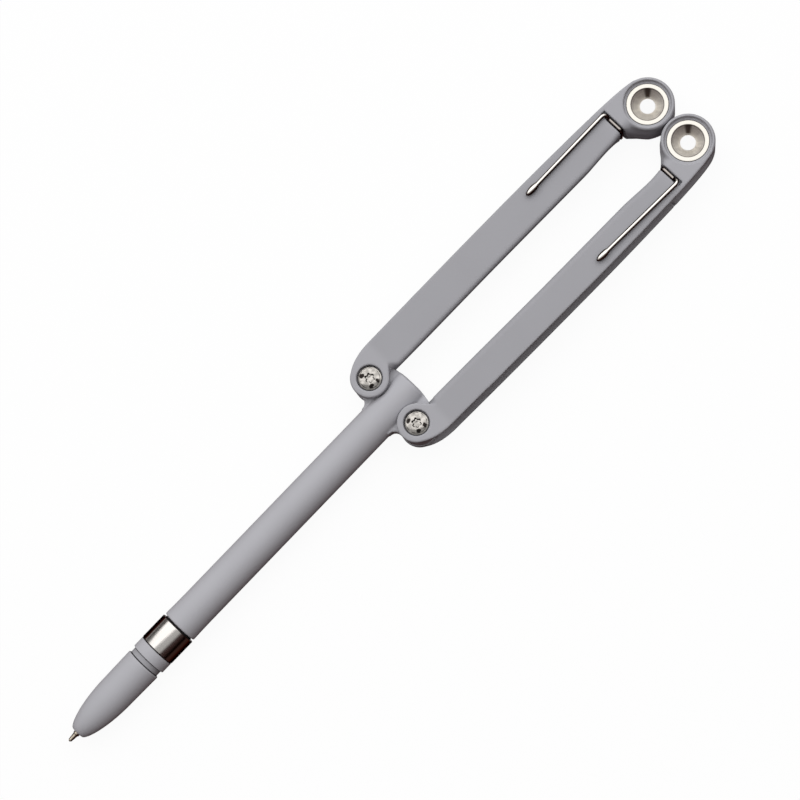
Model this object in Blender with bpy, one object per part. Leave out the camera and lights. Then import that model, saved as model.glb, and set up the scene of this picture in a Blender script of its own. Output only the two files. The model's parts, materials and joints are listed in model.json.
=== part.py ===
# Balisong pen: a twist pen with two channelled handles that swing on its tang.
# Lengths are in metres. X runs from the writing tip to the ring ends, Z is up,
# and the pen lies open on its back with the clips on top.
import math

import bmesh
import bpy
import numpy as np
from mathutils import Matrix

MM = 0.001

# Whole pen, measured along X from the line through both pivots
TIP_REACH = 133.85 * MM
RING_REACH = 112.04 * MM
BARREL_REAR = 7.6 * MM
PIVOT_HALF_SPAN = 9.39 * MM
HANDLE_SWAY = math.radians(0.63)
CLOSED_ANGLE = math.radians(179.3)

# Pen body, from the tip back
TIP_OUT = 3.5 * MM
NOSE_LENGTH = 27.1 * MM
NECK_LENGTH = 1.85 * MM
COLLAR_LENGTH = 3.6 * MM
BAND_LENGTH = 8.55 * MM
BAND_GAP = 0.6 * MM
NOSE_FRONT_R = 1.95 * MM
NOSE_OGIVE_LENGTH = 16.4 * MM
NOSE_OGIVE_R = 5.36 * MM
NOSE_REAR_R = 5.52 * MM
NECK_R = 5.0 * MM
COLLAR_R = 5.58 * MM
BAND_R = 5.66 * MM
BARREL_R = 5.38 * MM
BARREL_FRONT_R = 5.52 * MM
BARREL_FLARE = 8.9 * MM
OGIVE_POWER = 0.65
SEAM = 0.15 * MM
EDGE_BREAK = 0.15 * MM
NOSE_EDGE_RUN = 0.4 * MM
BLUNT_EDGE = 0.2 * MM

# Inside of the pen body
SPIGOT_R = 4.7 * MM
SPIGOT_SETBACK = 0.2 * MM
BARREL_BORE_R = 4.1 * MM
BORE_CONE_R = 2.0 * MM
BORE_CONE_LENGTH = 2.0 * MM
BORE_SPARE = 1.0 * MM
SLEEVE_OUTER_R = 3.8 * MM
SLEEVE_INNER_R = 3.3 * MM
COLLAR_BORE_R = 3.9 * MM
COLLAR_PLUG_R = 4.4 * MM
COLLAR_PLUG_LENGTH = 6.0 * MM
SOCKET_SPARE = 0.3 * MM
NOSE_WALL = 2.3 * MM
THROAT_SETBACK = 0.6 * MM
BORE_CLEAR = 0.4 * MM
NECK_CLEAR = 0.2 * MM
REFILL_LENGTH = 98.0 * MM
REFILL_R = 2.95 * MM
REFILL_BORE_R = 2.5 * MM
REFILL_TIP_LENGTH = 11.9 * MM
REFILL_NECK_R = 1.15 * MM
TIP_CONE_R = 0.78 * MM
TIP_CONE_LENGTH = 2.6 * MM
TIP_STEP = 0.1 * MM
TIP_STEP_FRONT = 3.6 * MM
TIP_STEP_REAR = 4.2 * MM
TIP_FLANGE = 1.0 * MM
TIP_PLUG_LENGTH = 3.0 * MM
INK_BORE_R = 0.5 * MM
FEED_R = 0.25 * MM
FEED_LENGTH = 0.6 * MM
BALL_R = 0.4 * MM
BALL_OUT = 0.35 * MM
BALL_CLEAR = 0.06 * MM
BALL_SEAT_DEPTH = 0.15 * MM
MOUTH_WALL = 0.08 * MM
PLUG_HEAD = 1.2 * MM
PLUG_LENGTH = 3.0 * MM
PLUG_CHAMFER = 0.3 * MM
TWIST_TRAVEL = 4.5 * MM
LUG_R = 0.7 * MM
LUG_CLEAR = 0.3 * MM
LUG_ROOT = 1.5 * MM
LUG_REACH = 4.45 * MM
KEYWAY_CLEAR = 0.15 * MM
KEYWAY_SPARE = 0.5 * MM
SLEEVE_SPARE = 2.2 * MM
SLOT_OVERRUN = 0.1
FOLLOWER_LENGTH = 3.5 * MM
SPRING_WIRE_R = 0.25 * MM
SPRING_COIL_R = 1.85 * MM
SPRING_TURNS = 6.5

# Tang and pivots
TANG_HALF = 2.4 * MM
TANG_FRONT = 5.45 * MM
TANG_FILLET = 2.2 * MM
REAR_SAG = 0.736 * MM
TANG_CORNER_Y = 7.25 * MM
TANG_INSET = 0.05 * MM
LUG_OUTER_R = 5.45 * MM
FORK_HALF = 3.2 * MM
FORK_CLEAR = 0.25 * MM
EAR_R = 5.65 * MM
EAR_POCKET_CLEAR = 0.25 * MM
PIVOT_BORE_R = 2.1 * MM
PIVOT_SLEEVE_R = 2.0 * MM
SCREW_RECESS_R = 3.8 * MM
SCREW_RECESS_DEPTH = 1.6 * MM
SCREW_HEAD_R = 3.5 * MM
SCREW_CROWN_R = 1.9 * MM
SCREW_SHANK_R = 1.2 * MM
SCREW_SOCKET_R = 1.5 * MM
SOCKET_WAVE = 0.14
SOCKET_DEPTH = 0.75 * MM
SCREW_SINK = 0.3 * MM
SCREW_SKIRT = 0.35 * MM
SHANK_END = 1.0 * MM
NUT_SPARE = 0.5 * MM
WASHER_R = 4.6 * MM
CLEAR = 0.1 * MM
PAST = 2.0 * MM

# Handles: U runs from the pivot to the ring, V outward, H is half the thickness
HANDLE_H = 5.8 * MM
ROUND_R = 1.5 * MM
INNER_DRAFT = 0.92 * MM
FADE_INSET = 0.66 * MM
CORNER_MIN_R = 0.3 * MM
EDGE_MAX_V = 7.98 * MM
EDGE_MAX_U = 62.0 * MM
EDGE_SAG_FRONT = 0.394 * MM
EDGE_SAG_REAR = 0.416 * MM
SHOULDER_START_U = -2.9 * MM
SHOULDER_START_V = 4.8 * MM
SHOULDER_BEND_U = 0.9 * MM
SHOULDER_BEND_V = 7.65 * MM
SHOULDER_END_U = 8.0 * MM
HEAD_BLEND_SETBACK = 16.04 * MM
HEAD_R = 7.85 * MM
HEAD_V = -1.457 * MM
HEAD_JOIN_ANGLE = math.radians(72.0)
INNER_ROOT_V = -2.63 * MM
INNER_MID_V = -2.33 * MM
INNER_WAIST_V = -1.83 * MM
INNER_ROOT_U = 10.0 * MM
INNER_MID_U = 55.0 * MM
WAIST_SETBACK = 27.04 * MM
WAIST_RUN = 11.0 * MM
FLARE_SETBACK = 14.54 * MM
FLARE_RUN = 6.8 * MM
FLARE_DEPTH = 3.85 * MM
BOSS_APEX_U = 9.2 * MM
BOSS_APEX_V = 2.6 * MM
BOSS_INSET = 0.1 * MM
JOIN_INSET = 0.02 * MM
CHANNEL_CLEAR = 0.25 * MM
CHANNEL_EASE = 1.5 * MM
CHANNEL_NOSE = 1.0 * MM
CHANNEL_TIP = 2.0 * MM
CHANNEL_TIP_R = 1.5 * MM

# Ring inserts
POCKET_DEPTH = 1.3 * MM
POCKET_RIM_R = 6.9 * MM
POCKET_FLOOR_R = 6.3 * MM
INSERT_BORE_R = 6.15 * MM
INSERT_R = 6.06 * MM
SINK_R = 4.88 * MM
SINK_DEPTH = 2.2 * MM
FINGER_HOLE_R = 2.25 * MM
HOLE_LAND = 0.7 * MM

# Wire clips
WIRE_R = 0.62 * MM
CLIP_LENGTH = 32.5 * MM
CLIP_SETBACK = 10.84 * MM
CLIP_TIP_V = 4.55 * MM
CLIP_V = 5.15 * MM
BULB_R = 0.98 * MM
BULB_LENGTH = 5.2 * MM
BULB_POLE = math.radians(8.0)
CLIP_BEND = 1.4 * MM
GROOVE_HALF = 0.85 * MM
GROOVE_DEPTH = 1.7 * MM
WIRE_HOLE_R = 0.85 * MM
WIRE_HOLE_DEPTH = 3.4 * MM
WIRE_TAIL = 1.2 * MM
TAIL_SETBACK = 3.2 * MM
BEND_MIN_R = 0.8 * MM
WIRE_END = 2.1 * MM
WIRE_SUNK = 0.3 * MM

# Places along the pen that follow from the lengths above
NOSE_FRONT = -TIP_REACH + TIP_OUT
NOSE_REAR = NOSE_FRONT + NOSE_LENGTH
COLLAR_FRONT = NOSE_REAR + NECK_LENGTH
BAND_FRONT = COLLAR_FRONT + COLLAR_LENGTH
BAND_REAR = BAND_FRONT + BAND_LENGTH
BARREL_FRONT = BAND_REAR + BAND_GAP
REFILL_SHOULDER = -TIP_REACH + REFILL_TIP_LENGTH
REFILL_REAR = -TIP_REACH + REFILL_LENGTH
FOLLOWER_FRONT = REFILL_REAR + 2.0 * CLEAR
FOLLOWER_REAR = FOLLOWER_FRONT + FOLLOWER_LENGTH
LUG_X = 0.5 * (FOLLOWER_FRONT + FOLLOWER_REAR)
SLEEVE_REAR = LUG_X + TWIST_TRAVEL + SLEEVE_SPARE
BORE_REAR = FOLLOWER_REAR + TWIST_TRAVEL + BORE_SPARE
SPRING_SEAT = NOSE_FRONT + NOSE_WALL

# Sizes that follow from their neighbours: the fork clears the tang's fillets when shut
FORK_R = math.hypot(TANG_FRONT + TANG_FILLET, PIVOT_HALF_SPAN - BARREL_R) + FORK_CLEAR
INSERT_HALF = HANDLE_H - POCKET_DEPTH

# Places along a handle that follow from where its ring is
HEAD_BLEND_U = RING_REACH - HEAD_BLEND_SETBACK
WAIST_U = RING_REACH - WAIST_SETBACK
FLARE_U = RING_REACH - FLARE_SETBACK
CLIP_CROSS_U = RING_REACH - CLIP_SETBACK
CLIP_TIP_U = CLIP_CROSS_U - CLIP_LENGTH


def smooth_step(low, high, value):
    t = np.clip((value - low) / (high - low), 0.0, 1.0)
    return t * t * (3.0 - 2.0 * t)


def quadratic(p0, p1, p2, count):
    t = np.linspace(0.0, 1.0, count)[:, None]
    p0, p1, p2 = np.array(p0), np.array(p1), np.array(p2)
    return (1.0 - t) ** 2 * p0 + 2.0 * t * (1.0 - t) * p1 + t ** 2 * p2


def bowed_edge(u):
    if u < EDGE_MAX_U:
        return EDGE_MAX_V - EDGE_SAG_FRONT * ((u - EDGE_MAX_U) / (SHOULDER_END_U - EDGE_MAX_U)) ** 2
    return EDGE_MAX_V - EDGE_SAG_REAR * ((u - EDGE_MAX_U) / (HEAD_BLEND_U - EDGE_MAX_U)) ** 2


def outer_edge_points():
    # shoulder beside the ear, long bowed lip, then the run into the round head
    end = (SHOULDER_END_U, bowed_edge(SHOULDER_END_U))
    start = (SHOULDER_START_U, SHOULDER_START_V)
    shoulder = quadratic(start, (SHOULDER_BEND_U, SHOULDER_BEND_V), end, 8)
    middle_u = np.linspace(SHOULDER_END_U, HEAD_BLEND_U, 11)[1:-1]
    middle = np.array([(u, bowed_edge(u)) for u in middle_u])
    a = HEAD_JOIN_ANGLE
    r = HEAD_R - JOIN_INSET
    join = (RING_REACH + r * math.cos(a), HEAD_V + r * math.sin(a))
    start = (HEAD_BLEND_U, bowed_edge(HEAD_BLEND_U))
    slope0 = -2.0 * EDGE_SAG_REAR / (HEAD_BLEND_U - EDGE_MAX_U)
    slope1 = -1.0 / math.tan(a)
    bend_u = (join[1] - start[1] + slope0 * start[0] - slope1 * join[0]) / (slope0 - slope1)
    bend = (bend_u, start[1] + slope0 * (bend_u - start[0]))
    return np.vstack([shoulder, middle, quadratic(start, bend, join, 8)])


def upright_share(u):
    # how far the leaning inner side has turned upright, as it runs into the ring head
    return smooth_step(WAIST_U + WAIST_RUN, FLARE_U + FLARE_RUN, u)


def inner_edge(u):
    v = INNER_ROOT_V
    v += (INNER_MID_V - INNER_ROOT_V) * smooth_step(INNER_ROOT_U, INNER_MID_U, u)
    v += (INNER_WAIST_V - INNER_MID_V) * smooth_step(WAIST_U, WAIST_U + WAIST_RUN, u)
    v += FADE_INSET * upright_share(u)
    flare = np.clip((u - FLARE_U) / FLARE_RUN, 0.0, 1.0)
    return v - FLARE_DEPTH * flare ** 3


# The part's origin lies under the middle of its outline, on the handles' backs
EDGE = outer_edge_points()
LEAN = EDGE[:, 0] * math.sin(HANDLE_SWAY)
EDGE_Y = EDGE[:, 1] * math.cos(HANDLE_SWAY)
PEN_Y = 0.5 * (np.max(EDGE_Y + LEAN) - np.max(EDGE_Y - LEAN))
PIVOT_X = 0.5 * (TIP_REACH - HEAD_R - RING_REACH)
AXIS_Z = HANDLE_H


def finish_mesh(name, bm):
    bmesh.ops.remove_doubles(bm, verts=bm.verts, dist=1e-7)
    bmesh.ops.recalc_face_normals(bm, faces=bm.faces)
    mesh = bpy.data.meshes.new(name)
    bm.to_mesh(mesh)
    bm.free()
    obj = bpy.data.objects.new(name, mesh)
    bpy.context.scene.collection.objects.link(obj)
    return obj


def turned(name, profile, axis="X", steps=40, at=(0.0, 0.0, 0.0)):
    # profile of (along, radius): closed unless it starts and ends on the axis
    bm = bmesh.new()
    if axis == "X":
        rows = [bm.verts.new((a, 0.0, r)) for a, r in profile]
        direction = (1.0, 0.0, 0.0)
    else:
        rows = [bm.verts.new((r, 0.0, a)) for a, r in profile]
        direction = (0.0, 0.0, 1.0)
    edges = [bm.edges.new(pair) for pair in zip(rows[:-1], rows[1:])]
    if profile[0][1] > 0.0:
        edges.append(bm.edges.new((rows[-1], rows[0])))
    bmesh.ops.spin(bm, geom=rows + edges, cent=(0.0, 0.0, 0.0), axis=direction,
                   angle=2.0 * math.pi, steps=steps, use_merge=True)
    bmesh.ops.translate(bm, verts=bm.verts, vec=at)
    return finish_mesh(name, bm)


def extruded(name, outline, low, high):
    bm = bmesh.new()
    base = bm.faces.new([bm.verts.new((x, y, low)) for x, y in outline])
    grown = bmesh.ops.extrude_face_region(bm, geom=[base])
    top = [v for v in grown["geom"] if isinstance(v, bmesh.types.BMVert)]
    bmesh.ops.translate(bm, verts=top, vec=(0.0, 0.0, high - low))
    return finish_mesh(name, bm)


def lofted(name, rings):
    bm = bmesh.new()
    rows = [[bm.verts.new(p) for p in ring] for ring in rings]
    count = len(rows[0])
    for a, b in zip(rows[:-1], rows[1:]):
        for i in range(count):
            j = (i + 1) % count
            bm.faces.new((a[i], a[j], b[j], b[i]))
    bm.faces.new(rows[0])
    bm.faces.new(rows[-1][::-1])
    return finish_mesh(name, bm)


def block(name, low, high):
    corners = [(low[0], low[1]), (high[0], low[1]), (high[0], high[1]), (low[0], high[1])]
    return extruded(name, corners, low[2], high[2])


def wire(name, points, radii, sides):
    # round wire through the points, from a bevelled curve
    curve = bpy.data.curves.new(name, "CURVE")
    curve.dimensions = "3D"
    curve.bevel_depth = 1.0
    curve.bevel_resolution = sides // 2 - 2
    curve.use_fill_caps = True
    spline = curve.splines.new("POLY")
    spline.points.add(len(points) - 1)
    for row, p, r in zip(spline.points, points, radii):
        row.co = (p[0], p[1], p[2], 1.0)
        row.radius = r
    drawn = bpy.data.objects.new(name + "_curve", curve)
    bpy.context.scene.collection.objects.link(drawn)
    depsgraph = bpy.context.evaluated_depsgraph_get()
    mesh = bpy.data.meshes.new_from_object(drawn.evaluated_get(depsgraph))
    bpy.data.objects.remove(drawn)
    bm = bmesh.new()
    bm.from_mesh(mesh)
    bpy.data.meshes.remove(mesh)
    return finish_mesh(name, bm)


def combine(target, tool, operation="DIFFERENCE"):
    modifier = target.modifiers.new("combine", "BOOLEAN")
    modifier.operation = operation
    modifier.solver = "EXACT"
    modifier.object = tool
    depsgraph = bpy.context.evaluated_depsgraph_get()
    mesh = bpy.data.meshes.new_from_object(target.evaluated_get(depsgraph))
    target.modifiers.clear()
    bm = bmesh.new()
    bm.from_mesh(mesh)
    bmesh.ops.remove_doubles(bm, verts=bm.verts, dist=2e-6)
    bmesh.ops.dissolve_degenerate(bm, edges=bm.edges, dist=2e-6)
    bmesh.ops.dissolve_limit(bm, angle_limit=math.radians(0.2), verts=bm.verts, edges=bm.edges)
    bm.to_mesh(mesh)
    bm.free()
    old = target.data
    target.data = mesh
    bpy.data.meshes.remove(old)
    bpy.data.objects.remove(tool)


def material(name, colour, metallic, roughness):
    mat = bpy.data.materials.new(name)
    mat.use_nodes = True
    shader = mat.node_tree.nodes["Principled BSDF"]
    shader.inputs["Base Color"].default_value = (*colour, 1.0)
    shader.inputs["Metallic"].default_value = metallic
    shader.inputs["Roughness"].default_value = roughness
    return mat


def empty(name, at, turn=0.0):
    obj = bpy.data.objects.new(name, None)
    obj.empty_display_size = 0.01
    obj.location = at
    obj.rotation_euler = (0.0, 0.0, turn)
    bpy.context.scene.collection.objects.link(obj)
    return obj


def place(obj, parent, look):
    colour, metallic, roughness = look
    obj.data.materials.clear()
    obj.data.materials.append(material(obj.name, colour, metallic, roughness))
    obj.parent = parent
    return obj


GREY_NYLON = ((0.36, 0.36, 0.38), 0.0, 0.5)
NICKEL = ((0.78, 0.77, 0.75), 1.0, 0.22)
BRASS = ((0.72, 0.55, 0.28), 1.0, 0.3)
BRONZE = ((0.55, 0.36, 0.2), 1.0, 0.4)
SPRING_STEEL = ((0.55, 0.55, 0.56), 1.0, 0.3)
DARK_PLASTIC = ((0.05, 0.05, 0.055), 0.0, 0.5)

for old in list(bpy.data.objects):
    bpy.data.objects.remove(old)

PEN = empty("pen_axis", (PIVOT_X, PEN_Y, AXIS_Z))


def nose_outline(grow=0.0):
    # ogive from the tip opening back to the neck, as (x, radius)
    rows = []
    for t in np.linspace(0.0, 1.0, 10) ** 1.4:
        rise = (1.0 - (1.0 - t) ** 2) ** OGIVE_POWER
        r = NOSE_FRONT_R + (NOSE_OGIVE_R - NOSE_FRONT_R) * rise
        rows.append((NOSE_FRONT + t * NOSE_OGIVE_LENGTH, r + grow))
    rows.append((NOSE_REAR - NOSE_EDGE_RUN, NOSE_REAR_R + grow))
    rows.append((NOSE_REAR - SEAM, NOSE_REAR_R - EDGE_BREAK + grow))
    return rows


def rear_face(y):
    # the barrel's slightly bowed rear end
    return BARREL_REAR - REAR_SAG * (y / TANG_CORNER_Y) ** 2


def build_barrel():
    flare = [(BARREL_FRONT + BARREL_FLARE * (1.0 - t),
              BARREL_R + (BARREL_FRONT_R - BARREL_R) * t * t) for t in (0.0, 0.35, 0.7, 1.0)]
    profile = [(rear_face(r), r) for r in np.linspace(0.0, BARREL_R - BLUNT_EDGE, 5)]
    profile += [(profile[-1][0] - BLUNT_EDGE, BARREL_R)] + flare
    front = BAND_FRONT + SPIGOT_SETBACK
    profile += [(BARREL_FRONT, SPIGOT_R), (front, SPIGOT_R), (front, BARREL_BORE_R),
                (BORE_REAR, BARREL_BORE_R), (BORE_REAR + BORE_CONE_LENGTH, BORE_CONE_R),
                (BORE_REAR + BORE_CONE_LENGTH, 0.0)]
    barrel = turned("pen_barrel", profile, steps=48)
    half = LUG_R + KEYWAY_CLEAR
    end = LUG_R + KEYWAY_SPARE
    keyway = block("keyway", (LUG_X - end, -half, BARREL_BORE_R - LUG_R),
                   (LUG_X + TWIST_TRAVEL + end, half, LUG_REACH + KEYWAY_CLEAR))
    combine(barrel, keyway)
    pocket_r = EAR_R + EAR_POCKET_CLEAR
    for side in (1.0, -1.0):
        for low, high in ((TANG_HALF + CLEAR, BARREL_R + PAST), (-BARREL_R - PAST, -TANG_HALF - CLEAR)):
            pocket = turned("pocket", [(low, 0.0), (low, pocket_r), (high, pocket_r), (high, 0.0)],
                            "Z", 48, (0.0, side * PIVOT_HALF_SPAN, 0.0))
            combine(barrel, pocket)
    half = [(-TANG_FRONT - TANG_FILLET, 0.0)]
    for a in np.linspace(-90.0, 0.0, 7):
        half.append((-TANG_FRONT - TANG_FILLET + TANG_FILLET * math.cos(math.radians(a)),
                     BARREL_R + TANG_FILLET + TANG_FILLET * math.sin(math.radians(a))))
    for a in np.linspace(180.0, 0.0, 25):
        half.append((LUG_OUTER_R * math.cos(math.radians(a)),
                     PIVOT_HALF_SPAN + LUG_OUTER_R * math.sin(math.radians(a))))
    for y in np.linspace(TANG_CORNER_Y, 0.0, 6)[:-1]:
        half.append((rear_face(y) - TANG_INSET, y))
    rear = (BARREL_REAR - TANG_INSET, 0.0)
    mirrored = [(x, -y) for x, y in half[1:][::-1]]
    tang = extruded("tang", half + [rear] + mirrored, -TANG_HALF, TANG_HALF)
    for side in (1.0, -1.0):
        high = TANG_HALF + PAST
        bore = turned("bore", [(-high, 0.0), (-high, PIVOT_BORE_R), (high, PIVOT_BORE_R), (high, 0.0)],
                      "Z", 32, (0.0, side * PIVOT_HALF_SPAN, 0.0))
        combine(tang, bore)
    combine(barrel, tang, "UNION")
    place(barrel, PEN, GREY_NYLON)


def build_nose():
    band = turned("ferrule_band", [
        (BAND_FRONT, SPIGOT_R + CLEAR), (BAND_FRONT, BAND_R - EDGE_BREAK),
        (BAND_FRONT + EDGE_BREAK, BAND_R), (BAND_REAR - EDGE_BREAK, BAND_R),
        (BAND_REAR, BAND_R - EDGE_BREAK), (BAND_REAR, SPIGOT_R + CLEAR)])
    place(band, PEN, NICKEL)

    plug_front = NOSE_REAR - COLLAR_PLUG_LENGTH
    collar = turned("nose_collar", [
        (BAND_FRONT - SEAM, COLLAR_BORE_R), (BAND_FRONT - SEAM, COLLAR_R),
        (COLLAR_FRONT + BLUNT_EDGE, COLLAR_R), (COLLAR_FRONT, COLLAR_R - BLUNT_EDGE),
        (COLLAR_FRONT, NECK_R), (NOSE_REAR, NECK_R), (NOSE_REAR, COLLAR_PLUG_R),
        (plug_front, COLLAR_PLUG_R), (plug_front, COLLAR_BORE_R)])
    place(collar, PEN, GREY_NYLON)

    socket_r = COLLAR_PLUG_R + CLEAR
    socket_front = plug_front - SOCKET_SPARE
    throat = REFILL_SHOULDER - THROAT_SETBACK
    refill_r = REFILL_R + BORE_CLEAR
    spring_r = SPRING_COIL_R + SPRING_WIRE_R + BORE_CLEAR
    mouth_r = REFILL_NECK_R + NECK_CLEAR
    inside = [(NOSE_REAR - SEAM, socket_r), (socket_front, socket_r), (socket_front, refill_r),
              (throat, refill_r), (throat, spring_r), (SPRING_SEAT, spring_r),
              (SPRING_SEAT, mouth_r), (NOSE_FRONT, mouth_r)]
    cone = turned("nose_cone", nose_outline() + inside, steps=40)
    place(cone, PEN, GREY_NYLON)

    sleeve_front = plug_front + SOCKET_SPARE
    sleeve = turned("twist_sleeve", [
        (sleeve_front, SLEEVE_INNER_R), (sleeve_front, SLEEVE_OUTER_R),
        (SLEEVE_REAR, SLEEVE_OUTER_R), (SLEEVE_REAR, SLEEVE_INNER_R)], steps=32)
    rings = []
    half = LUG_R + LUG_CLEAR
    low = SLEEVE_INNER_R - half
    high = SLEEVE_OUTER_R + half
    for t in np.linspace(-SLOT_OVERRUN, 1.0 + SLOT_OVERRUN, 21):
        a = math.pi * t
        x = LUG_X + TWIST_TRAVEL * t
        ring = []
        for dx, r in ((-half, low), (half, low), (half, high), (-half, high)):
            ring.append((x + dx, r * math.sin(a), r * math.cos(a)))
        rings.append(ring)
    combine(sleeve, lofted("helix", rings))
    place(sleeve, PEN, BRASS)


def build_refill():
    tip = -TIP_REACH
    mouth = tip + BALL_OUT
    seat = tip + 2.0 * BALL_R + BALL_SEAT_DEPTH
    cup_r = BALL_R + BALL_CLEAR
    plug_r = REFILL_BORE_R - CLEAR
    flange = REFILL_SHOULDER + TIP_FLANGE
    rows = [(mouth, cup_r), (mouth, cup_r + MOUTH_WALL), (tip + TIP_CONE_LENGTH, TIP_CONE_R),
            (tip + TIP_STEP_FRONT, REFILL_NECK_R - TIP_STEP), (tip + TIP_STEP_REAR, REFILL_NECK_R),
            (REFILL_SHOULDER - CLEAR, REFILL_NECK_R), (REFILL_SHOULDER - CLEAR, REFILL_R),
            (flange, REFILL_R), (flange, plug_r), (flange + TIP_PLUG_LENGTH, plug_r),
            (flange + TIP_PLUG_LENGTH, INK_BORE_R), (seat + FEED_LENGTH, FEED_R), (seat, cup_r)]
    place(turned("refill_tip", rows, steps=24), PEN, BRASS)

    ball_x = tip + BALL_R
    arc = [(ball_x + BALL_R * math.cos(a), BALL_R * math.sin(a)) for a in np.linspace(0.0, math.pi, 7)]
    arc[0] = (ball_x + BALL_R, 0.0)
    arc[-1] = (ball_x - BALL_R, 0.0)
    place(turned("writing_ball", arc, steps=12), PEN, SPRING_STEEL)

    front = flange + CLEAR
    rear = REFILL_REAR - PLUG_HEAD
    tube = turned("refill_tube", [(front, REFILL_BORE_R), (front, REFILL_R),
                                  (rear, REFILL_R), (rear, REFILL_BORE_R)], steps=32)
    place(tube, PEN, NICKEL)
    plug = turned("refill_plug", [
        (rear - PLUG_LENGTH, 0.0), (rear - PLUG_LENGTH, plug_r),
        (rear + CLEAR, plug_r), (rear + CLEAR, REFILL_R),
        (REFILL_REAR - PLUG_CHAMFER, REFILL_R), (REFILL_REAR, REFILL_R - PLUG_CHAMFER), (REFILL_REAR, 0.0)],
        steps=32)
    place(plug, PEN, DARK_PLASTIC)

    follower = turned("cam_follower", [
        (FOLLOWER_FRONT, 0.0), (FOLLOWER_FRONT, SLEEVE_INNER_R - CLEAR),
        (FOLLOWER_REAR, SLEEVE_INNER_R - CLEAR), (FOLLOWER_REAR, 0.0)], steps=32)
    lug = turned("lug", [(LUG_ROOT, 0.0), (LUG_ROOT, LUG_R), (LUG_REACH, LUG_R), (LUG_REACH, 0.0)],
                 "Z", 24, (LUG_X, 0.0, 0.0))
    combine(follower, lug, "UNION")
    place(follower, PEN, DARK_PLASTIC)

    low = SPRING_SEAT + SPRING_WIRE_R + CLEAR
    high = REFILL_SHOULDER - 2.0 * CLEAR - SPRING_WIRE_R
    turns = np.linspace(0.0, 1.0, int(SPRING_TURNS * 12) + 1)
    points = [(low + (high - low) * t, SPRING_COIL_R * math.sin(2.0 * math.pi * SPRING_TURNS * t),
               SPRING_COIL_R * math.cos(2.0 * math.pi * SPRING_TURNS * t)) for t in turns]
    spring = wire("return_spring", points, [SPRING_WIRE_R] * len(points), 6)
    place(spring, PEN, SPRING_STEEL)


def drafted(side, u, v, z):
    # the left handle's inner side leans out towards its face, the right one's towards its back
    return v - side * INNER_DRAFT * (1.0 - float(upright_share(u))) * z / HANDLE_H


def inner_side(side, u, inset, tightest=CORNER_MIN_R):
    # the handle's inner side at u as (v, z): two round edges and a leaning wall, moved in by the inset
    r = max(ROUND_R - inset, tightest)
    centre = float(inner_edge(u)) + inset + r
    rows = []
    for low, level in ((0.0, HANDLE_H - inset - r), (0.5 * math.pi, inset + r - HANDLE_H)):
        for a in np.linspace(low, low + 0.5 * math.pi, 7):
            z = level + r * math.cos(a)
            rows.append((drafted(side, u, centre - r * math.sin(a), z), z))
    return rows


def clip_tail_v(side):
    # where the clip's tail goes into the handle's back
    return drafted(side, CLIP_CROSS_U, float(inner_edge(CLIP_CROSS_U)) + TAIL_SETBACK, -HANDLE_H)


def handle_body(name, side):
    edge = outer_edge_points()
    rings = []
    for u, v_out in edge:
        rows = [(v_out, HANDLE_H)] + inner_side(side, u, 0.0) + [(v_out, -HANDLE_H)]
        rings.append([(u, side * v, z) for v, z in rows])
    return lofted(name, rings)


def disc(name, centre, radius, low, high, steps=48):
    return turned(name, [(low, 0.0), (low, radius), (high, radius), (high, 0.0)], "Z", steps,
                  (centre[0], centre[1], 0.0))


def channel_cutter(side):
    # the pen's own outline with clearance, where it lies when the handle is shut
    grow = CHANNEL_CLEAR
    rows = [(EAR_R, 0.0), (EAR_R, BARREL_R + grow), (BARREL_FRONT + BARREL_FLARE, BARREL_R + grow),
            (BARREL_FRONT + CHANNEL_EASE, BAND_R + grow), (COLLAR_FRONT - NOSE_EDGE_RUN, BAND_R + grow)]
    nose = nose_outline(grow)[::-1]
    rows += [(x, r) for x, r in nose[1:]]
    rows += [(NOSE_FRONT - CHANNEL_NOSE, NOSE_FRONT_R), (-TIP_REACH - CHANNEL_TIP, CHANNEL_TIP_R),
             (-TIP_REACH - CHANNEL_TIP, 0.0)]
    cutter = turned("channel", rows, steps=48)
    turn = Matrix.Rotation(-side * CLOSED_ANGLE, 4, "Z")
    shift = Matrix.Translation((0.0, -side * PIVOT_HALF_SPAN, 0.0))
    cutter.data.transform(turn @ shift)
    return cutter


def groove_cutter(side):
    deep = inner_side(side, CLIP_CROSS_U, GROOVE_DEPTH)
    outside = inner_side(side, CLIP_CROSS_U, -PAST)
    ends = [(CLIP_V + GROOVE_HALF, deep[0][1])]
    ends_out = [(CLIP_V + GROOVE_HALF, outside[0][1])]
    tail_v = clip_tail_v(side) + WIRE_HOLE_R
    loop = ends + deep + [(tail_v, deep[-1][1]), (tail_v, outside[-1][1])] + outside[::-1] + ends_out
    rings = []
    for u in (CLIP_CROSS_U - GROOVE_HALF, CLIP_CROSS_U + GROOVE_HALF):
        rings.append([(u, side * v, z) for v, z in loop])
    return lofted("groove", rings)


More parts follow.
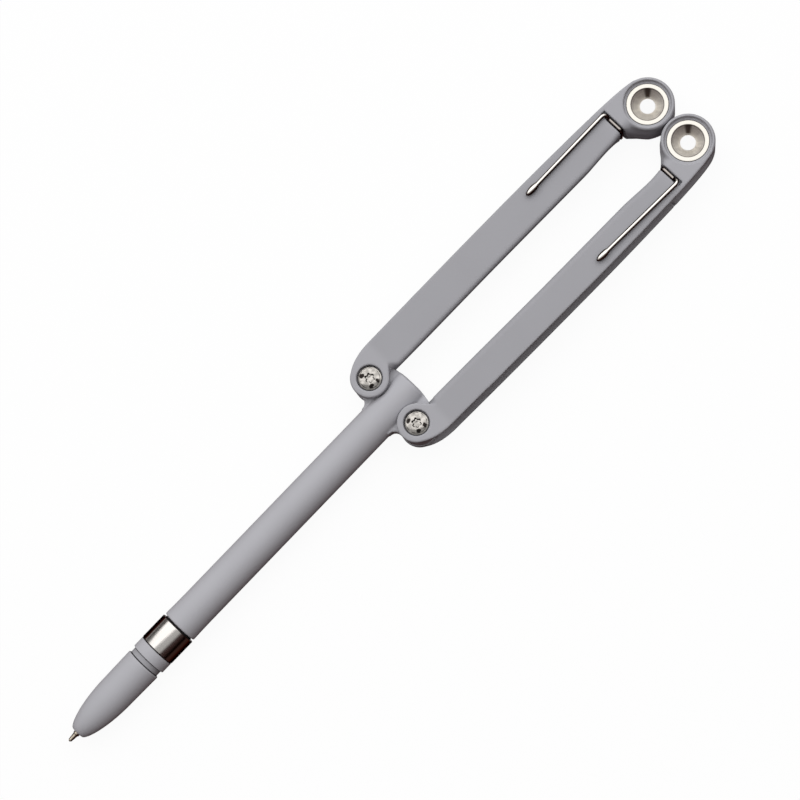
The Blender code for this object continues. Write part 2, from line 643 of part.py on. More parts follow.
def build_handle(word, side, pivot):
    handle = handle_body("handle_" + word, side)
    apex = (BOSS_APEX_U, side * BOSS_APEX_V)
    reach = math.hypot(BOSS_APEX_U, BOSS_APEX_V)
    middle = math.atan2(BOSS_APEX_V, BOSS_APEX_U)
    spread = math.acos(EAR_R / reach)
    r = EAR_R - BOSS_INSET
    foot_low = (r * math.cos(middle - spread), side * r * math.sin(middle - spread))
    foot_high = (r * math.cos(middle + spread), side * r * math.sin(middle + spread))
    wedge = [(0.0, 0.0), foot_low, apex, foot_high]
    combine(handle, extruded("boss", wedge, -HANDLE_H, HANDLE_H), "UNION")
    head = (RING_REACH, side * HEAD_V)
    combine(handle, disc("head", head, HEAD_R, -HANDLE_H, HANDLE_H), "UNION")
    combine(handle, channel_cutter(side))
    combine(handle, disc("ear", (0.0, 0.0), EAR_R, -HANDLE_H, HANDLE_H), "UNION")
    combine(handle, disc("fork", (0.0, 0.0), FORK_R, -FORK_HALF, FORK_HALF))
    combine(handle, disc("bore", (0.0, 0.0), PIVOT_BORE_R, -HANDLE_H - PAST, HANDLE_H + PAST, 32))
    floor = HANDLE_H - SCREW_RECESS_DEPTH
    for low, high in ((floor, HANDLE_H + PAST), (-HANDLE_H - PAST, -floor)):
        combine(handle, disc("recess", (0.0, 0.0), SCREW_RECESS_R, low, high, 40))
    above = HANDLE_H + PAST
    rim = POCKET_RIM_R + (POCKET_RIM_R - POCKET_FLOOR_R) / POCKET_DEPTH * PAST
    rows = [(-above, 0.0), (-above, rim), (-INSERT_HALF, POCKET_FLOOR_R), (-INSERT_HALF, INSERT_BORE_R),
            (INSERT_HALF, INSERT_BORE_R), (INSERT_HALF, POCKET_FLOOR_R), (above, rim), (above, 0.0)]
    combine(handle, turned("pocket", rows, "Z", 48, (head[0], head[1], 0.0)))
    combine(handle, groove_cutter(side))
    tail = (CLIP_CROSS_U, side * clip_tail_v(side))
    combine(handle, disc("hole", tail, WIRE_HOLE_R, -HANDLE_H - PAST,
                         -HANDLE_H + WIRE_HOLE_DEPTH, 16))
    place(handle, pivot, GREY_NYLON)

    top = INSERT_HALF
    sink = top - SINK_DEPTH
    rows = [(-top, SINK_R), (-top, INSERT_R), (top, INSERT_R), (top, SINK_R), (sink, FINGER_HOLE_R),
            (sink - HOLE_LAND, FINGER_HOLE_R), (sink - HOLE_LAND, SINK_R)]
    insert = turned("ring_insert_" + word, rows, "Z", 48, (head[0], head[1], 0.0))
    place(insert, pivot, NICKEL)


def build_clip(word, side, pivot):
    sunk = WIRE_R + WIRE_SUNK
    rows = inner_side(side, CLIP_CROSS_U, sunk, BEND_MIN_R)
    lift = HANDLE_H + WIRE_R + CLEAR
    low = HANDLE_H - sunk
    leg_end = (CLIP_CROSS_U - CLIP_BEND, CLIP_V, lift)
    step_down = (CLIP_CROSS_U, CLIP_V - 0.7 * CLIP_BEND, 0.5 * (lift + low))
    landing = (CLIP_CROSS_U, CLIP_V - 1.6 * CLIP_BEND, low)
    path = list(quadratic(leg_end, (CLIP_CROSS_U, CLIP_V, lift), step_down, 4))
    path += list(quadratic(step_down, (CLIP_CROSS_U, CLIP_V - 1.1 * CLIP_BEND, low), landing, 4)[1:])
    path += [(CLIP_CROSS_U, v, z) for v, z in rows]
    tail_v = clip_tail_v(side)
    path += list(quadratic((CLIP_CROSS_U, tail_v - WIRE_TAIL, -low), (CLIP_CROSS_U, tail_v, -low),
                           (CLIP_CROSS_U, tail_v, -low + WIRE_TAIL), 4))
    path.append((CLIP_CROSS_U, tail_v, -low + WIRE_END))

    # bulb: a long ellipsoid that ends in a neck where it narrows to the wire
    angles = np.linspace(BULB_POLE, math.pi - math.asin(WIRE_R / BULB_R), 9)
    radii = list(BULB_R * np.sin(angles))
    bulb_z = HANDLE_H + BULB_R + CLEAR
    lean = (CLIP_V - CLIP_TIP_V) / (leg_end[0] - CLIP_TIP_U)
    leg = []
    for along in 0.5 * BULB_LENGTH * (1.0 - np.cos(angles)):
        leg.append((CLIP_TIP_U + along, CLIP_TIP_V + lean * along, bulb_z))
    start = leg[-1][0]
    for k in (0.3, 0.6, 0.9):
        u = start + (leg_end[0] - start) * k
        leg.append((u, CLIP_TIP_V + lean * (u - CLIP_TIP_U), bulb_z + (lift - bulb_z) * k))
        radii.append(WIRE_R)
    points = [(u, side * v, z) for u, v, z in leg + path]
    radii += [WIRE_R] * len(path)
    place(wire("wire_clip_" + word, points, radii, 8), pivot, NICKEL)


def build_pivot(word, pivot):
    floor = HANDLE_H - SCREW_RECESS_DEPTH + CLEAR
    crown = HANDLE_H - SCREW_SINK
    lobes = []
    for a in np.linspace(0.0, 2.0 * math.pi, 25)[:-1]:
        r = SCREW_SOCKET_R * (1.0 - SOCKET_WAVE * (1.0 - math.cos(6.0 * a)))
        lobes.append((r * math.cos(a), r * math.sin(a)))
    dome = []
    skirt = floor + SCREW_SKIRT
    for a in np.linspace(0.0, 0.5 * math.pi, 5):
        r = SCREW_CROWN_R + (SCREW_HEAD_R - SCREW_CROWN_R) * math.cos(a)
        dome.append((skirt + (crown - skirt) * math.sin(a), r))
    dome.append((crown, 0.0))
    shank_end = -SHANK_END
    rows = [(shank_end, 0.0), (shank_end, SCREW_SHANK_R), (floor, SCREW_SHANK_R), (floor, SCREW_HEAD_R)]
    screw = turned("pivot_screw_" + word, rows + dome, "Z", 32)
    combine(screw, extruded("socket", lobes, crown - SOCKET_DEPTH, crown + PAST))
    place(screw, pivot, NICKEL)

    sleeve_top = floor - 2.0 * CLEAR
    under = [(-z, r) for z, r in dome[::-1]]
    rows = under + [(-floor, SCREW_HEAD_R), (-floor, PIVOT_SLEEVE_R), (sleeve_top, PIVOT_SLEEVE_R),
                    (sleeve_top, SCREW_SHANK_R + CLEAR), (shank_end - NUT_SPARE, SCREW_SHANK_R + CLEAR),
                    (shank_end - NUT_SPARE, 0.0)]
    nut = turned("pivot_nut_" + word, rows, "Z", 32)
    combine(nut, extruded("socket", lobes, -crown - PAST, -crown + SOCKET_DEPTH))
    place(nut, pivot, NICKEL)

    low = TANG_HALF + CLEAR
    high = FORK_HALF - CLEAR
    for spot, a, b in (("front", low, high), ("rear", -high, -low)):
        rows = [(a, PIVOT_BORE_R), (a, WASHER_R), (b, WASHER_R), (b, PIVOT_BORE_R)]
        washer = turned("washer_" + spot + "_" + word, rows, "Z", 28)
        place(washer, pivot, BRONZE)


build_barrel()
build_nose()
build_refill()
for WORD, SIDE in (("left", 1.0), ("right", -1.0)):
    PIVOT = empty(WORD + "_pivot", (PIVOT_X, PEN_Y + SIDE * PIVOT_HALF_SPAN, AXIS_Z), -HANDLE_SWAY)
    build_handle(WORD, SIDE, PIVOT)
    build_clip(WORD, SIDE, PIVOT)
    build_pivot(WORD, PIVOT)
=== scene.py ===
# Balisong pen: a twist pen with two channelled handles that swing on its tang.
# The pen lies open on a pale table with its clips and screws uppermost.
import json
import math

import bmesh
import bpy
import numpy as np
from mathutils import Matrix, Vector


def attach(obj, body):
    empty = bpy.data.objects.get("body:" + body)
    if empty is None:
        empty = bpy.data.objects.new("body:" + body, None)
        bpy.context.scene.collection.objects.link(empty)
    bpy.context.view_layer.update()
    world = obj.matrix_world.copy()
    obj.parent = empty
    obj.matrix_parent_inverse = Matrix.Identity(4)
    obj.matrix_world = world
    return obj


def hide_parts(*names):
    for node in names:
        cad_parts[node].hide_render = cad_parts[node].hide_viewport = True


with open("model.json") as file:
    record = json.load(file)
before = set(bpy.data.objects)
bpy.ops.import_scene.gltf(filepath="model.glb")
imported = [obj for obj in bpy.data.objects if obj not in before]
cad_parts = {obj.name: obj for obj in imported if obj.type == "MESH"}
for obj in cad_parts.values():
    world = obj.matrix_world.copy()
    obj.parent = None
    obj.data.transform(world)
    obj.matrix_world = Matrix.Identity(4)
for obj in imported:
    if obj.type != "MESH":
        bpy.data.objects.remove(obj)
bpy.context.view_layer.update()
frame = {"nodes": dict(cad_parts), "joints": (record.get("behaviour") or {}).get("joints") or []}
nodes = frame["nodes"]

MM = 0.001
JOINTS = {joint["name"]: joint for joint in frame["joints"]}
LEFT_PIVOT = np.array(JOINTS["left_handle_swing"]["pos_m"])
RIGHT_PIVOT = np.array(JOINTS["right_handle_swing"]["pos_m"])
PEN_ORIGIN = 0.5 * (LEFT_PIVOT + RIGHT_PIVOT)
PIVOT_HALF_SPAN = 0.5 * (LEFT_PIVOT - RIGHT_PIVOT)[1] / MM

# Camera: straight above the pen but for a slight lean, with a long lens. It is rolled so
# that the pen runs from the lower left of the picture to the upper right.
LEAN_ALONG = math.radians(2.1)
LEAN_ACROSS = math.radians(10.3)
CAMERA_ROLL = math.radians(46.046)
CAMERA_DISTANCE = 0.7792
LENS_MM = 122.3
SENSOR_MM = 36.0
NEAR_CLIP = 0.01
AIM_AHEAD = 1.65 * MM
AIM_ASIDE = -0.4 * MM
AIM = Vector(PEN_ORIGIN) + Vector((AIM_AHEAD, AIM_ASIDE, 0.0))

to_camera = Vector((-math.tan(LEAN_ALONG), -math.tan(LEAN_ACROSS), 1.0)).normalized()
along_pen = Vector((1.0, 0.0, 0.0))
along_pen = (along_pen - along_pen.dot(to_camera) * to_camera).normalized()
across_pen = to_camera.cross(along_pen)
picture_right = math.cos(CAMERA_ROLL) * along_pen - math.sin(CAMERA_ROLL) * across_pen
picture_up = math.sin(CAMERA_ROLL) * along_pen + math.cos(CAMERA_ROLL) * across_pen

lens = bpy.data.cameras.new("camera")
lens.lens = LENS_MM
lens.sensor_width = SENSOR_MM
lens.clip_start = NEAR_CLIP
camera = bpy.data.objects.new("camera", lens)
bpy.context.scene.collection.objects.link(camera)
turn = Matrix((picture_right, picture_up, to_camera)).transposed().to_4x4()
camera.matrix_world = Matrix.Translation(AIM + CAMERA_DISTANCE * to_camera) @ turn
bpy.context.scene.camera = camera
bpy.context.scene.view_settings.view_transform = "Standard"


# Light: one large softbox that leans in from the top of the picture, in a tent of grey round
# its axis. The room beyond is dark, so that round pieces are modelled and metal has contrast.
class Signal:
    """A shader socket that arithmetic works on: each operator adds the Math node for it."""

    def __init__(self, maker, socket):
        self.maker = maker
        self.socket = socket

    def math(self, operation, first, second):
        return self.maker.node("ShaderNodeMath", {"operation": operation}, {0: first, 1: second})

    def __add__(self, other):
        return self.math("ADD", self, other)

    def __radd__(self, other):
        return self.math("ADD", other, self)

    def __sub__(self, other):
        return self.math("SUBTRACT", self, other)

    def __rsub__(self, other):
        return self.math("SUBTRACT", other, self)

    def __mul__(self, other):
        return self.math("MULTIPLY", self, other)

    def __rmul__(self, other):
        return self.math("MULTIPLY", other, self)


class Finish:
    """A node tree that is filled one node at a time, with each node's settings set first."""

    RELIEF = 0.02 * MM

    def __init__(self, owner):
        owner.use_nodes = True
        self.owner = owner
        self.tree = owner.node_tree
        self.tree.nodes.clear()

    def node(self, kind, settings=None, inputs=None, output=0):
        made = self.tree.nodes.new(kind)
        for key, value in (settings or {}).items():
            setattr(made, key, value)
        for key, value in (inputs or {}).items():
            if isinstance(value, Signal):
                self.tree.links.new(value.socket, made.inputs[key])
            else:
                made.inputs[key].default_value = value
        return Signal(self, made.outputs[output])

    def step(self, value, low, high):
        """Smooth rise from 0 to 1 as value goes from low to high."""
        return self.node("ShaderNodeMapRange", {"interpolation_type": "SMOOTHSTEP"},
                         {0: value, 1: low, 2: high})

    def blend(self, factor, first, second):
        """Colour that goes from first to second with factor."""
        return self.node("ShaderNodeMix", {"data_type": "RGBA"}, {0: factor, 6: first, 7: second}, 2)

    def noise(self, spot, scale, detail):
        """Soft cloudy noise over the spots of a piece."""
        return self.node("ShaderNodeTexNoise", None, {"Vector": spot, "Scale": scale, "Detail": detail})

    def dot(self, first, second):
        """Dot product of two vectors."""
        return self.node("ShaderNodeVectorMath", {"operation": "DOT_PRODUCT"},
                         {0: first, 1: tuple(second)}, "Value")

    def in_plan(self, spot, centre):
        """Level vector from an upright axis through centre to a spot."""
        away = self.node("ShaderNodeVectorMath", {"operation": "SUBTRACT"}, {0: spot, 1: tuple(centre)})
        return self.node("ShaderNodeVectorMath", {"operation": "MULTIPLY"}, {0: away, 1: (1.0, 1.0, 0.0)})

    def length(self, vector):
        """Length of a vector."""
        return self.node("ShaderNodeVectorMath", {"operation": "LENGTH"}, {0: vector}, "Value")

    def bump(self, height, strength):
        """Normal tilted by a fine relief."""
        return self.node("ShaderNodeBump", None,
                         {"Height": height, "Strength": strength, "Distance": self.RELIEF})

    def show(self, surface, kind="ShaderNodeOutputMaterial"):
        """Join a finished surface to the tree's output."""
        sink = self.tree.nodes.new(kind)
        self.tree.links.new(surface.socket, sink.inputs["Surface"])
        return self.owner


ROOM_GREY = (0.66, 0.66, 0.66, 1.0)
ROOM_NEAR = (0.05, 0.024, 0.022, 1.0)
ROOM_FAR = (0.09, 0.083, 0.078, 1.0)
ROOM_DARK = (0.015, 0.013, 0.012, 1.0)
TENT_EDGE = (0.33, 0.54)
FAR_EDGE = (0.78, 0.97)
DARK_HEIGHT = math.radians(8.0)
DARK_EDGE = (math.cos(math.radians(17.0)), math.cos(math.radians(9.0)))
SOFTBOX_LEAN = math.radians(27.0)
SOFTBOX_TURN = math.radians(35.0)
SOFTBOX_LENGTH = 1.6
SOFTBOX_WIDTH = 1.08
SOFTBOX_DISTANCE = 0.9
SOFTBOX_WATTS = 7.4

room = Finish(bpy.data.worlds.new("room"))
gaze = room.node("ShaderNodeTexCoord", output="Generated")
softbox_turn = Matrix.Rotation(-SOFTBOX_TURN, 3, "Z") @ Matrix.Rotation(-SOFTBOX_LEAN, 3, "X")
toward_softbox = softbox_turn @ Vector((0.0, 0.0, 1.0))
overhead = room.dot(gaze, toward_softbox)
far = room.dot(gaze, (0.0, 1.0, 0.0))
sky = room.blend(room.step(overhead, *TENT_EDGE), ROOM_NEAR, ROOM_GREY)
sky = room.blend(room.step(far, *FAR_EDGE), sky, ROOM_FAR)
toward_near = Vector((-picture_up.x, -picture_up.y, 0.0)).normalized()
toward_dark = math.cos(DARK_HEIGHT) * toward_near + Vector((0.0, 0.0, math.sin(DARK_HEIGHT)))
dark_spot = room.step(room.dot(gaze, toward_dark), *DARK_EDGE)
glow = room.node("ShaderNodeBackground", None, {"Color": room.blend(dark_spot, sky, ROOM_DARK)})
room.show(glow, "ShaderNodeOutputWorld")
bpy.context.scene.world = room.owner

softbox = bpy.data.lights.new("softbox", "AREA")
softbox.shape = "RECTANGLE"
softbox.size = SOFTBOX_LENGTH
softbox.size_y = SOFTBOX_WIDTH
softbox.energy = SOFTBOX_WATTS
softbox_object = bpy.data.objects.new("softbox", softbox)
bpy.context.scene.collection.objects.link(softbox_object)
softbox_object.location = AIM + SOFTBOX_DISTANCE * toward_softbox
softbox_object.rotation_euler = softbox_turn.to_euler()


# Table: a plain pale sheet under the pen's back. It looks white to the eye and in metal,
# and keeps the pen's shadow, but throws little light back up under the pen.
TABLE_HALF = 4.0
TABLE_DROP = 0.02 * MM
TABLE_PALE = (0.93, 0.93, 0.93, 1.0)
TABLE_CLOUD = (0.92, 0.92, 0.92, 1.0)
TABLE_DIM = (0.08, 0.03, 0.026, 1.0)
TABLE_GLOW = 0.94


def mesh_from(name, points, faces, material):
    """Smooth-shaded object at the origin from an array of points and an array of faces."""
    mesh = bpy.data.meshes.new(name)
    mesh.from_pydata(np.asarray(points).reshape(-1, 3).tolist(), [], np.asarray(faces).tolist())
    mesh.materials.append(material)
    made = bpy.data.objects.new(name, mesh)
    bpy.context.scene.collection.objects.link(made)
    mesh.shade_smooth()
    return made


table_finish = Finish(bpy.data.materials.new("table"))
table_spot = table_finish.node("ShaderNodeTexCoord", output="Object")
table_cloud = table_finish.node("ShaderNodeTexNoise", None, {"Vector": table_spot, "Scale": 3.0})
table_white = table_finish.blend(table_cloud, TABLE_PALE, TABLE_CLOUD)
table_sheet = table_finish.node("ShaderNodeBsdfDiffuse", None, {"Color": table_white})
table_light = table_finish.node("ShaderNodeEmission")
table_seen = table_finish.node("ShaderNodeMixShader", None,
                               {0: TABLE_GLOW, 1: table_sheet, 2: table_light})
table_under = table_finish.node("ShaderNodeBsdfDiffuse", None, {"Color": TABLE_DIM})
in_view = table_finish.node("ShaderNodeLightPath", output="Is Camera Ray")
in_view = in_view + table_finish.node("ShaderNodeLightPath", output="Is Glossy Ray")
in_view = in_view + table_finish.node("ShaderNodeLightPath", output="Is Transmission Ray")
table_material = table_finish.show(
    table_finish.node("ShaderNodeMixShader", None, {0: in_view, 1: table_under, 2: table_seen}))
span = np.array([-TABLE_HALF, TABLE_HALF])
corner_x, corner_y = np.meshgrid(span, span, indexing="ij")
table_points = np.stack([corner_x, corner_y, np.full((2, 2), -TABLE_DROP)], -1)
table = mesh_from("table", table_points, [[0, 2, 3, 1]], table_material)


# Barrel: one moulding in satin grey nylon, with a flat tang across its rear end that
# carries both handles. Round pockets in its sides clear the handles' ears.
TIP_REACH = 133.85
TIP_OUT = 3.5
NOSE_LENGTH = 27.1
NECK_LENGTH = 1.85
COLLAR_LENGTH = 3.6
BAND_LENGTH = 8.55
BAND_GAP = 0.6
NOSE_FRONT = -TIP_REACH + TIP_OUT
NOSE_REAR = NOSE_FRONT + NOSE_LENGTH
COLLAR_FRONT = NOSE_REAR + NECK_LENGTH
BAND_FRONT = COLLAR_FRONT + COLLAR_LENGTH
BAND_REAR = BAND_FRONT + BAND_LENGTH
BARREL_FRONT = BAND_REAR + BAND_GAP
BARREL_REAR = 7.6
BARREL_R = 5.38
BARREL_FRONT_R = 5.52
BARREL_FLARE = 8.9
SPIGOT_R = 4.7
SPIGOT_SETBACK = 0.2
SPIGOT_ROOT = 2.0
REAR_SAG = 0.736
TANG_HALF = 2.4
TANG_FRONT = 5.45
TANG_FILLET = 2.2
TANG_REACH = 1.1
TANG_CORNER_Y = 7.25
LUG_R = 5.45
EAR_R = 5.65
EAR_CLEAR = 0.25
CLEAR = 0.1
PIVOT_BORE_R = 2.1
EDGE_ROUND = 0.35
SKIN_STEP = 0.33
GREY = (0.388, 0.387, 0.411)
# The barrel's nylon is painted lighter than the handles' nylon, a painted sheen for the light its round
# back catches.
PEN_LIGHTNESS = 1.2
CLOUD_PALE = 1.03
CLOUD_DEEP = 0.96
HIGHLIGHT_LIFT = 1.09
SPECK_DARK = (0.16, 0.15, 0.15, 1.0)
SPECK_SIZE = (0.018, 0.028)
SEAM_SHADE = (0.012, 0.010, 0.010, 1.0)
SEAM_SOFT = 0.06
# Spans painted dark as shade: the gap behind the band, the edges by the band and collar, the nose's rear
# edge, and lightly the recessed neck.
PEN_SEAMS = (
    (BAND_REAR - 0.3, BARREL_FRONT - 0.02, 0.96), (BAND_FRONT - 0.25, BAND_FRONT, 0.8),
    (COLLAR_FRONT - 0.22, COLLAR_FRONT - 0.04, 0.75), (NOSE_REAR - 0.12, NOSE_REAR + 0.16, 0.85),
    (NOSE_REAR + 0.2, COLLAR_FRONT - 0.25, 0.2))


def joined_max(a, b, radius):
    """Distance to what two solids share, with the edge where they meet rounded to a radius."""
    corner = np.hypot(np.maximum(a + radius, 0.0), np.maximum(b + radius, 0.0))
    return np.minimum(np.maximum(a, b), -radius) + corner


def joined_min(a, b, radius):
    """Distance to two solids together, with the corner between them filled to a radius."""
    return -joined_max(-a, -b, radius)


def skin(field, low, high, step):
    """Closed surface where a distance field is zero, by surface nets: each grid cell that the
    surface crosses gets one point, at the mean of its edge crossings, which then slides along
    the field's slope to zero, and four cells round a crossed grid edge make one face."""
    axes = [np.arange(a - 1.5 * step, b + 2.5 * step, step) for a, b in zip(low, high)]
    value = field(np.stack(np.meshgrid(*axes, indexing="ij"), -1))
    inside = value < 0.0
    cells = tuple(n - 1 for n in value.shape)

    def corner(array, offset):
        return array[tuple(slice(o, o + n) for o, n in zip(offset, cells))]

    offsets = list(np.ndindex(2, 2, 2))
    count = sum(corner(inside, offset).astype(np.int8) for offset in offsets)
    mixed = (count > 0) & (count < 8)
    number = np.full(cells, -1)
    number[mixed] = np.arange(mixed.sum())
    total = np.zeros((mixed.sum(), 3))
    hits = np.zeros(mixed.sum())
    for start in offsets:
        for axis in range(3):
            if start[axis] == 0:
                end = tuple(1 if k == axis else s for k, s in enumerate(start))
                a = corner(value, start)[mixed]
                b = corner(value, end)[mixed]
                crossed = (a < 0.0) != (b < 0.0)
                share = np.where(crossed, a / np.where(crossed, a - b, 1.0), 0.0)
                total += crossed[:, None] * np.array(start, float)
                total[:, axis] += share
                hits += crossed
    origin = np.array([axis[0] for axis in axes])
    points = origin + step * (np.argwhere(mixed) + total / hits[:, None])

    faces = []
    for axis in range(3):
        b_axis = (axis + 1) % 3
        c_axis = (axis + 2) % 3
        lower = np.take(inside, np.arange(cells[axis]), axis)
        upper = np.take(inside, np.arange(1, cells[axis] + 1), axis)
        spot = np.argwhere(lower != upper)
        leaving = lower[tuple(spot.T)]
        step_b = np.eye(3, dtype=int)[b_axis]
        step_c = np.eye(3, dtype=int)[c_axis]
        ring = [spot, spot - step_b, spot - step_b - step_c, spot - step_c]
        face = np.stack([number[tuple(cell.T)] for cell in ring], -1)
        faces.append(np.where(leaving[:, None], face, face[:, ::-1]))

    reach = 0.05 * step
    for slide in range(4):
        slope = np.stack([field(points + reach * e) - field(points - reach * e) for e in np.eye(3)], -1)
        slope /= 2.0 * reach
        shift = field(points) / np.maximum((slope ** 2).sum(-1), 0.1)
        points = points - np.clip(shift, -0.5 * step, 0.5 * step)[:, None] * slope
        points = np.clip(points, low, high)
    return points, np.concatenate(faces)


def dimmed(colour, share):
    """Colour times a share, as an opaque colour."""
    return tuple(share * c for c in colour[:3]) + (1.0,)


def shader(finish, **inputs):
    """Material of a finish whose surface is a Principled shader with these socket values."""
    named = {key.replace("_", " "): value for key, value in inputs.items()}
    return finish.show(finish.node("ShaderNodeBsdfPrincipled", None, named))


def barrel_field(place):
    """Barrel turned about X, less the ear pockets, plus the tang, which is two lugs and a web."""
    x, y, z = np.moveaxis(place, -1, 0)
    round_r = np.hypot(y, z)
    flare = np.clip((BARREL_FRONT + BARREL_FLARE - x) / BARREL_FLARE, 0.0, 1.0)
    tube = round_r - BARREL_R - (BARREL_FRONT_R - BARREL_R) * flare ** 2
    rear = x - BARREL_REAR + REAR_SAG * (round_r / TANG_CORNER_Y) ** 2
    barrel = joined_max(joined_max(tube, BARREL_FRONT - x, EDGE_ROUND), rear, 2.0 * EDGE_ROUND)
    spigot = np.maximum(round_r - SPIGOT_R, BAND_FRONT + SPIGOT_SETBACK - x)
    spigot = np.maximum(spigot, x - BARREL_FRONT - SPIGOT_ROOT)
    barrel = np.minimum(barrel, spigot)
    out = np.abs(y)
    pivot_r = np.hypot(x, out - PIVOT_HALF_SPAN)
    ear = np.maximum(pivot_r - EAR_R - EAR_CLEAR, TANG_HALF + CLEAR - np.abs(z))
    barrel = joined_max(barrel, -ear, 0.5 * EDGE_ROUND)

    lug = pivot_r - LUG_R
    web = np.maximum(-TANG_FRONT - x, out - PIVOT_HALF_SPAN)
    web_rear = x - BARREL_REAR + REAR_SAG * (out / TANG_CORNER_Y) ** 2
    corner_x = BARREL_REAR - REAR_SAG
    slant = np.array([PIVOT_HALF_SPAN - TANG_CORNER_Y, corner_x - LUG_R])
    slant /= np.linalg.norm(slant)
    bevel = (x - corner_x) * slant[0] + (out - TANG_CORNER_Y) * slant[1]
    web = np.maximum(np.maximum(web, web_rear), bevel)
    shaft = np.maximum(out - BARREL_R, x)
    outline = joined_min(np.minimum(lug, web), shaft, TANG_FILLET)
    outline = np.maximum(outline, -TANG_FRONT - TANG_REACH * TANG_FILLET - x)
    tang = joined_max(outline, np.abs(z) - TANG_HALF, EDGE_ROUND)
    whole = joined_min(barrel, tang, EDGE_ROUND)
    return np.maximum(whole, PIVOT_BORE_R - pivot_r)


def grey_nylon(name, lightness, seams=(), highlit_ends=None):
    """Satin moulded nylon: faint clouds of tone, a fine spark-eroded grain and a few dark specks.
    Seams are (from, to, share) along the pen, where painted shade darkens the gaps and the recessed neck
    between its pieces.
    Lit ends are two (from, to) spans along it, outside which the nylon is painted paler as a painted
    highlight on the ears and ring heads."""
    finish = Finish(bpy.data.materials.new(name))
    spot = finish.node("ShaderNodeTexCoord", output="Object")
    cloud = finish.noise(spot, 70.0, 3.0)
    grain = finish.noise(spot, 5200.0, 2.0)
    speck = finish.node("ShaderNodeTexVoronoi", None, {"Vector": spot, "Scale": 110.0})
    tone = finish.blend(cloud, dimmed(GREY, CLOUD_PALE * lightness), dimmed(GREY, CLOUD_DEEP * lightness))
    tone = finish.blend(1.0 - finish.step(speck, *SPECK_SIZE), tone, SPECK_DARK)
    along = finish.dot(spot, (1.0, 0.0, 0.0))
    # Painted shade in the gaps and the neck between the pen's pieces.
    for start, end, share in seams:
        low = PEN_ORIGIN[0] + start * MM
        high = PEN_ORIGIN[0] + end * MM
        inside = finish.step(along, low - SEAM_SOFT * MM, low)
        inside = inside * (1.0 - finish.step(along, high, high + SEAM_SOFT * MM))
        tone = finish.blend(inside * share, tone, SEAM_SHADE)
    if highlit_ends:
        ends = 1.0 - finish.step(along, *highlit_ends[0]) + finish.step(along, *highlit_ends[1])
        tone = finish.blend(ends, tone, dimmed(GREY, HIGHLIGHT_LIFT * lightness))
    return shader(finish, Base_Color=tone, Roughness=0.5 + 0.1 * grain, Normal=finish.bump(grain, 0.12),
                  Specular_IOR_Level=0.0)


nylon = grey_nylon("grey_nylon", PEN_LIGHTNESS, PEN_SEAMS)
half_width = PIVOT_HALF_SPAN + LUG_R
barrel_points, barrel_faces = skin(barrel_field, (BAND_FRONT, -half_width, -BARREL_FRONT_R),
                                   (BARREL_REAR, half_width, BARREL_FRONT_R), SKIN_STEP)
barrel = mesh_from("barrel_and_tang", barrel_points * MM + PEN_ORIGIN, barrel_faces, nylon)
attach(barrel, "pen_body")
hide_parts("pen_barrel")


# Ferrule band: a bright nickel-plated brass sleeve, pressed on the barrel's spigot, with
# fine polishing lines along it.
BAND_R = 5.66
BAND_EDGE = 0.18
NICKEL = (0.60, 0.575, 0.55, 1.0)
# Flank colours are painted: a dark reflection of the room on the metal's upright and downward faces, and
# painted shade in the clip's groove.
FLANK_RISE = (0.7, 0.84)
FLANK_REFLECTION_AND_SHADE = (0.034, 0.016, 0.013, 1.0)
EDGE_TINT = (0.16, 0.09, 0.08, 1.0)
LINE_DULL = 0.82
SHARP_ANGLE = math.radians(32.0)
MERGE = 1e-7
UP = (0.0, 0.0, 1.0)


def eased(corners, cut):
    """Closed outline with each corner replaced by a short quadratic curve, cut away from it."""
    here = np.asarray(corners, float)
    before = np.roll(here, 1, 0) - here
    after = np.roll(here, -1, 0) - here
    before_length = np.linalg.norm(before, axis=1, keepdims=True)
    after_length = np.linalg.norm(after, axis=1, keepdims=True)
    start = here + before / before_length * np.minimum(cut, 0.4 * before_length)
    end = here + after / after_length * np.minimum(cut, 0.4 * after_length)
    t = np.linspace(0.0, 1.0, 5)[:, None, None]
    curve = (1.0 - t) ** 2 * start + 2.0 * t * (1.0 - t) * here + t ** 2 * end
    return curve.transpose(1, 0, 2).reshape(-1, 2)


def grid_object(name, points, material, wrap_rows=True):
    """Object from a grid of points whose columns close round, with rows closed too or left open.
    Points that fall together are merged, and the faces are turned outwards."""
    rows, columns = points.shape[:2]
    row = np.arange(rows if wrap_rows else rows - 1)[:, None]
    column = np.arange(columns)[None, :]
    next_row = (row + 1) % rows
    next_column = (column + 1) % columns
    ring = [row * columns + column, row * columns + next_column,
            next_row * columns + next_column, next_row * columns + column]
    made = mesh_from(name, points, np.stack(ring, -1).reshape(-1, 4), material)
    shape = bmesh.new()
    shape.from_mesh(made.data)
    bmesh.ops.remove_doubles(shape, verts=shape.verts, dist=MERGE)
    bmesh.ops.recalc_face_normals(shape, faces=shape.faces)
    shape.to_mesh(made.data)
    shape.free()
    made.data.shade_smooth()
    made.data.set_sharp_from_angle(angle=SHARP_ANGLE)
    return made


def revolved(name, profile, material, wrap_rows=True, turns=160):
    """Surface of revolution: each (x, radius) of a profile carried round the pen's axis."""
    x, r = np.asarray(profile, float).T[:, :, None]
    angle = np.linspace(0.0, 2.0 * math.pi, turns, endpoint=False)[None, :]
    points = np.stack([x + 0.0 * angle, r * np.sin(angle), r * np.cos(angle)], -1)
    return grid_object(name, points * MM + PEN_ORIGIN, material, wrap_rows)


